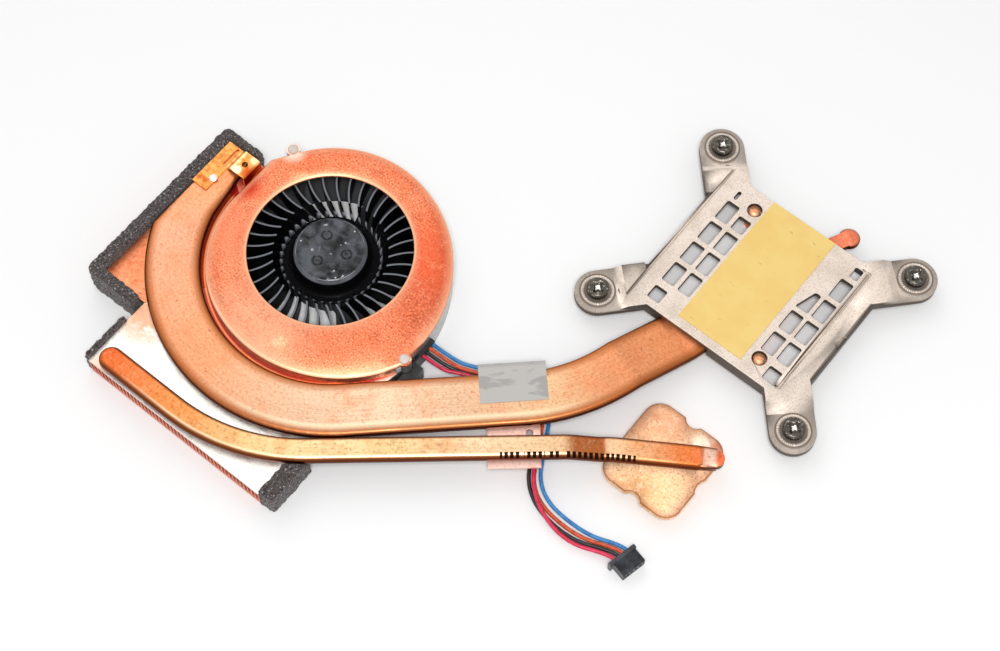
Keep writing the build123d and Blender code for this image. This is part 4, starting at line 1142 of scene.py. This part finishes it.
@dataclass
class Clamp:
    """Cast bracket with its pad, captive screws and retaining rings."""

    skins: Skins
    head_face_level: float = 7.95
    groove_level: float = 5.9
    seat_level: float = 4.3
    middle: Pair = (88.0, 61.2)
    spacing: Pair = (60.0, 53.0)
    # Radius of the painted shade ring round each collar.
    collar_shade_radius: float = 4.4
    screws: int = 4

    def dress(self) -> None:
        """Skin every piece of the clamp."""
        cast = CastAlloy("cast_alloy", self.groove_level, self.seat_level, self.collar_shade_rings())
        self.skins.dress(cast, "cpu_bracket")
        self.skins.dress(SoftFilm("pad_yellow"), "pad_film")
        numbers = range(1, self.screws + 1)
        heads = DarkHead("dark_screw", self.head_face_level)
        self.skins.dress(heads, *[f"screw_{i}" for i in numbers])
        rings = FineLined("ring_steel", (176, 174, 170), (120, 118, 114))
        self.skins.dress(rings, *[f"screw_ring_{i}" for i in numbers])

    def collar_shade_rings(self) -> tuple[RingMark, ...]:
        """Painted shade: a dark line round the edge of each screw's collar.

        Returns:
            One ring for each screw.
        """
        (x, y), (wide, deep) = self.middle, self.spacing
        halves = (-0.5, 0.5)
        spots = [(x + right * wide, y + back * deep) for right in halves for back in halves]
        # Each ring is painted shade at the foot of a collar.
        return tuple(RingMark(spot, self.collar_shade_radius, (112, 96, 82), 0.3, 0.8) for spot in spots)


@dataclass
class Seals:
    """Foam strips round the two outlets."""

    skins: Skins
    voxel: float = 0.34
    tear: float = 0.84
    tear_grain: float = 1.1
    tear_level: float = 0.55
    edge_round: float = 0.9

    def dress(self) -> None:
        """Make the three strips."""
        foam = OpenFoam("foam").build()
        for node in ("foam_a", "foam_b_left", "foam_b_right"):
            piece = self.skins.copy(node)
            self.ruffle(piece)
            self.skins.fasten(piece, node, foam)

    def ruffle(self, piece: Piece) -> None:
        """Round a strip's edges and tear its surface into cells.

        Args:
            piece: The strip.
        """
        rounded = piece.modifiers.new("rounded", "BEVEL")
        rounded.width = self.edge_round * MM
        rounded.segments = 3
        rounded.limit_method = "ANGLE"
        cells = piece.modifiers.new("cells", "REMESH")
        cells.mode = "VOXEL"
        cells.voxel_size = self.voxel * MM
        cells.use_smooth_shade = True
        clouds = bpy.data.textures.new(f"{piece.name}_cells", "CLOUDS")
        clouds.noise_scale = self.tear_grain * MM
        clouds.noise_depth = 2
        torn = piece.modifiers.new("torn", "DISPLACE")
        torn.texture = clouds
        torn.texture_coords = "LOCAL"
        torn.strength = self.tear * MM
        torn.mid_level = self.tear_level


@dataclass(frozen=True)
class WireRun:
    """One wire's colour, place in the plug and route between its two straight leads."""

    jacket: WireJacket
    place: int
    gate: Pair
    route: tuple[Point, ...]
    length: float


WIRE_RUNS = (
    WireRun(
        WireJacket("wire_blue", (58, 138, 200), (36, 104, 170)), 0, (-2.1, 4.3),
        ((46.4, -1.0, 4.9), (65.2, 8.6, 4.2), (72.4, -4.4, 3.0),
         (78.8, -15.9, 1.9), (93.6, -16.8, 0.9)), 83.3,
    ),
    WireRun(
        WireJacket("wire_orange", (222, 92, 48), (176, 58, 30)), 1, (-3.4, 4.3),
        ((46.8, -2.1, 4.5), (64.2, 6.9, 4.3), (71.6, -5.9, 1.9),
         (77.6, -16.9, 0.8), (92.2, -18.6, 0.7)), 82.8,
    ),
    WireRun(
        WireJacket("wire_black", (24, 23, 25), (44, 40, 42)), 2, (-4.7, 4.3),
        ((45.8, -2.4, 2.6), (63.4, 5.5, 2.6), (70.4, -7.0, 2.4),
         (76.9, -17.8, 1.0), (91.2, -20.2, 0.6)), 82.5,
    ),
    WireRun(
        WireJacket("wire_pink", (226, 44, 84), (176, 22, 58)), 3, (-6.0, 4.3),
        ((44.4, -4.0, 3.9), (62.8, 4.0, 3.7), (71.4, -6.2, 3.5),
         (77.8, -17.2, 2.3), (91.0, -21.6, 1.4)), 80.9,
    ),
)


@dataclass
class Wiring:
    """Four wires from the gate to the plug, the plug, and the tape that holds them."""

    skins: Skins
    wire_diameter: float = 1.0
    gate_lead: float = 6.5
    gate_x: float = 35.03
    plug_at: Pair = (104.1, -15.5)
    plug_angle: float = -13.0
    plug_z: float = 1.7
    plug_lead: float = 1.6
    pitch: float = 1.25
    tape_angle: float = 43.0
    runs: tuple[WireRun, ...] = WIRE_RUNS

    def wire(self, run: WireRun) -> Piece:
        """Draw one wire along its route.

        Args:
            run: The wire's colour and route.

        Returns:
            The wire's curve.
        """
        turn = math.radians(self.plug_angle)
        ahead = Vector((math.cos(turn), math.sin(turn), 0.0))
        left = Vector((-ahead.y, ahead.x, 0.0))
        from_middle = (len(self.runs) - 1) / 2 - run.place
        plug = Vector((*self.plug_at, self.plug_z)) + left * (from_middle * self.pitch)
        points = [
            (self.gate_x, *run.gate), (self.gate_x + self.gate_lead, *run.gate), *run.route,
            plug - ahead * self.plug_lead, plug,
        ]
        curve = bpy.data.curves.new(f"{run.jacket.name}_run", "CURVE")
        curve.dimensions = "3D"
        curve.bevel_depth = self.wire_diameter / 2 * MM
        curve.bevel_resolution = 5
        curve.resolution_u = 10
        curve.use_fill_caps = True
        spline = curve.splines.new("NURBS")
        spline.points.add(len(points) - 1)
        for spot, place in zip(spline.points, points):
            spot.co = (*(Vector(place) * MM), 1.0)
        spline.order_u = 3
        spline.use_endpoint_u = True
        return stand(curve.name, curve)

    def dress(self) -> None:
        """Make the wires, the plug and the tape."""
        shell = Moulded("connector_plastic", (32, 33, 37), (86, 88, 96), 0.34, dust_share=0.5)
        plug = self.skins.dress(shell, "connector_housing")
        tin = FineLined("contact_tin", (214, 204, 184), (160, 150, 130))
        plug += self.skins.dress(tin, "connector_contacts")
        for run in self.runs:
            wire = self.wire(run)
            self.skins.fasten(wire, run.jacket.name, run.jacket.build())
        self.skins.dress(ClothTape("tape_grey", self.tape_angle), "wire_tape")


@dataclass(frozen=True)
class Lamp:
    """A square soft lamp: its place and side in metres, its power in watts."""

    name: str
    place: Point
    side: float
    power: float

    def hang(self, target: Point) -> None:
        """Hang the lamp so that it looks at a point.

        Args:
            target: The point in metres.
        """
        data = bpy.data.lights.new(self.name, "AREA")
        data.size = self.side
        data.energy = self.power
        aim = Vector(target) - Vector(self.place)
        facing = aim.to_track_quat("-Z", "Y").to_matrix().to_4x4()
        stand(self.name, data).matrix_world = Matrix.Translation(self.place) @ facing


@dataclass
class Studio:
    """Camera, soft light and a plain pale floor."""

    camera_at: Point = (173.17, -155.20, 459.15)
    lens: float = 72.48
    sensor: float = 36.0
    near_m: float = 0.01
    azimuth: float = 37.49
    elevation: float = 65.09
    roll: float = 1.41
    floor_side: float = 6000.0
    floor_level: float = -0.05
    floor_colour: Colour = (252, 252, 252)
    open_sky: float = 0.48
    aim_m: Point = (0.04, 0.015, 0.0)
    lamps: tuple[Lamp, ...] = (
        Lamp("key_lamp", (0.245, -0.245, 0.75), 0.2, 3.5),
        Lamp("fill_lamp", (-0.45, 0.3, 0.6), 0.6, 0.9),
    )

    def build(self) -> None:
        """Set the stage round the object."""
        bpy.context.scene.view_settings.view_transform = "Standard"
        self.place_camera()
        self.light_world()
        for lamp in self.lamps:
            lamp.hang(self.aim_m)
        self.floor()

    def place_camera(self) -> None:
        """Stand the camera where the photograph was taken from."""
        turn, rise, roll = (math.radians(a) for a in (self.azimuth, self.elevation, self.roll))
        back = Vector((math.sin(turn) * math.cos(rise), -math.cos(turn) * math.cos(rise), math.sin(rise)))
        right = Vector((math.cos(turn), math.sin(turn), 0.0))
        up = back.cross(right)
        tilted_right = right * math.cos(roll) + up * math.sin(roll)
        tilted_up = up * math.cos(roll) - right * math.sin(roll)
        data = bpy.data.cameras.new("camera")
        data.lens = self.lens
        data.sensor_width = self.sensor
        data.clip_start = self.near_m
        facing = Matrix((tilted_right, tilted_up, back)).transposed().to_4x4()
        camera = stand("camera", data)
        camera.matrix_world = Matrix.Translation(Vector(self.camera_at) * MM) @ facing
        bpy.context.scene.camera = camera

    def light_world(self) -> None:
        """Soft white surroundings that the camera and shiny metal see as plain white."""
        world = bpy.data.worlds.new("surroundings")
        tree = Tree(world)
        rays = tree.node("LightPath").outputs
        seen = tree.maths("MAXIMUM", rays["Is Camera Ray"], rays["Is Glossy Ray"])
        seen = tree.maths("MAXIMUM", seen, rays["Is Transmission Ray"])
        white = linear((255, 255, 255))
        lights = [
            tree.node("Background", {"Color": white, "Strength": strength}).outputs[0]
            for strength in (self.open_sky, 1.0)
        ]
        blend = tree.node("MixShader", {0: seen, 1: lights[0], 2: lights[1]})
        tree.node("OutputWorld", {0: blend.outputs[0]})
        bpy.context.scene.world = world

    def floor(self) -> None:
        """Lay a pale matt floor just below the object."""
        shape = bmesh.new()
        bmesh.ops.create_grid(shape, x_segments=1, y_segments=1, size=self.floor_side / 2 * MM)
        bmesh.ops.translate(shape, verts=shape.verts, vec=(0.0, 0.0, self.floor_level * MM))
        mesh = bpy.data.meshes.new("floor")
        shape.to_mesh(mesh)
        shape.free()
        coat = Coat("floor_white")
        coat.colour = self.floor_colour
        coat.surface(0.9)
        mesh.materials.append(coat.material)
        stand("floor", mesh)


def main() -> None:
    """Load the frame, dress each sub-assembly and set the stage."""
    logging.basicConfig(level=logging.INFO, format="%(name)s: %(message)s")
    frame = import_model()
    skins = Skins(frame)
    FanUnit(skins).dress()
    HeatPath(skins).dress()
    Clamp(skins).dress()
    Seals(skins).dress()
    Wiring(skins).dress()
    Studio().build()


if __name__ == "__main__":
    main()
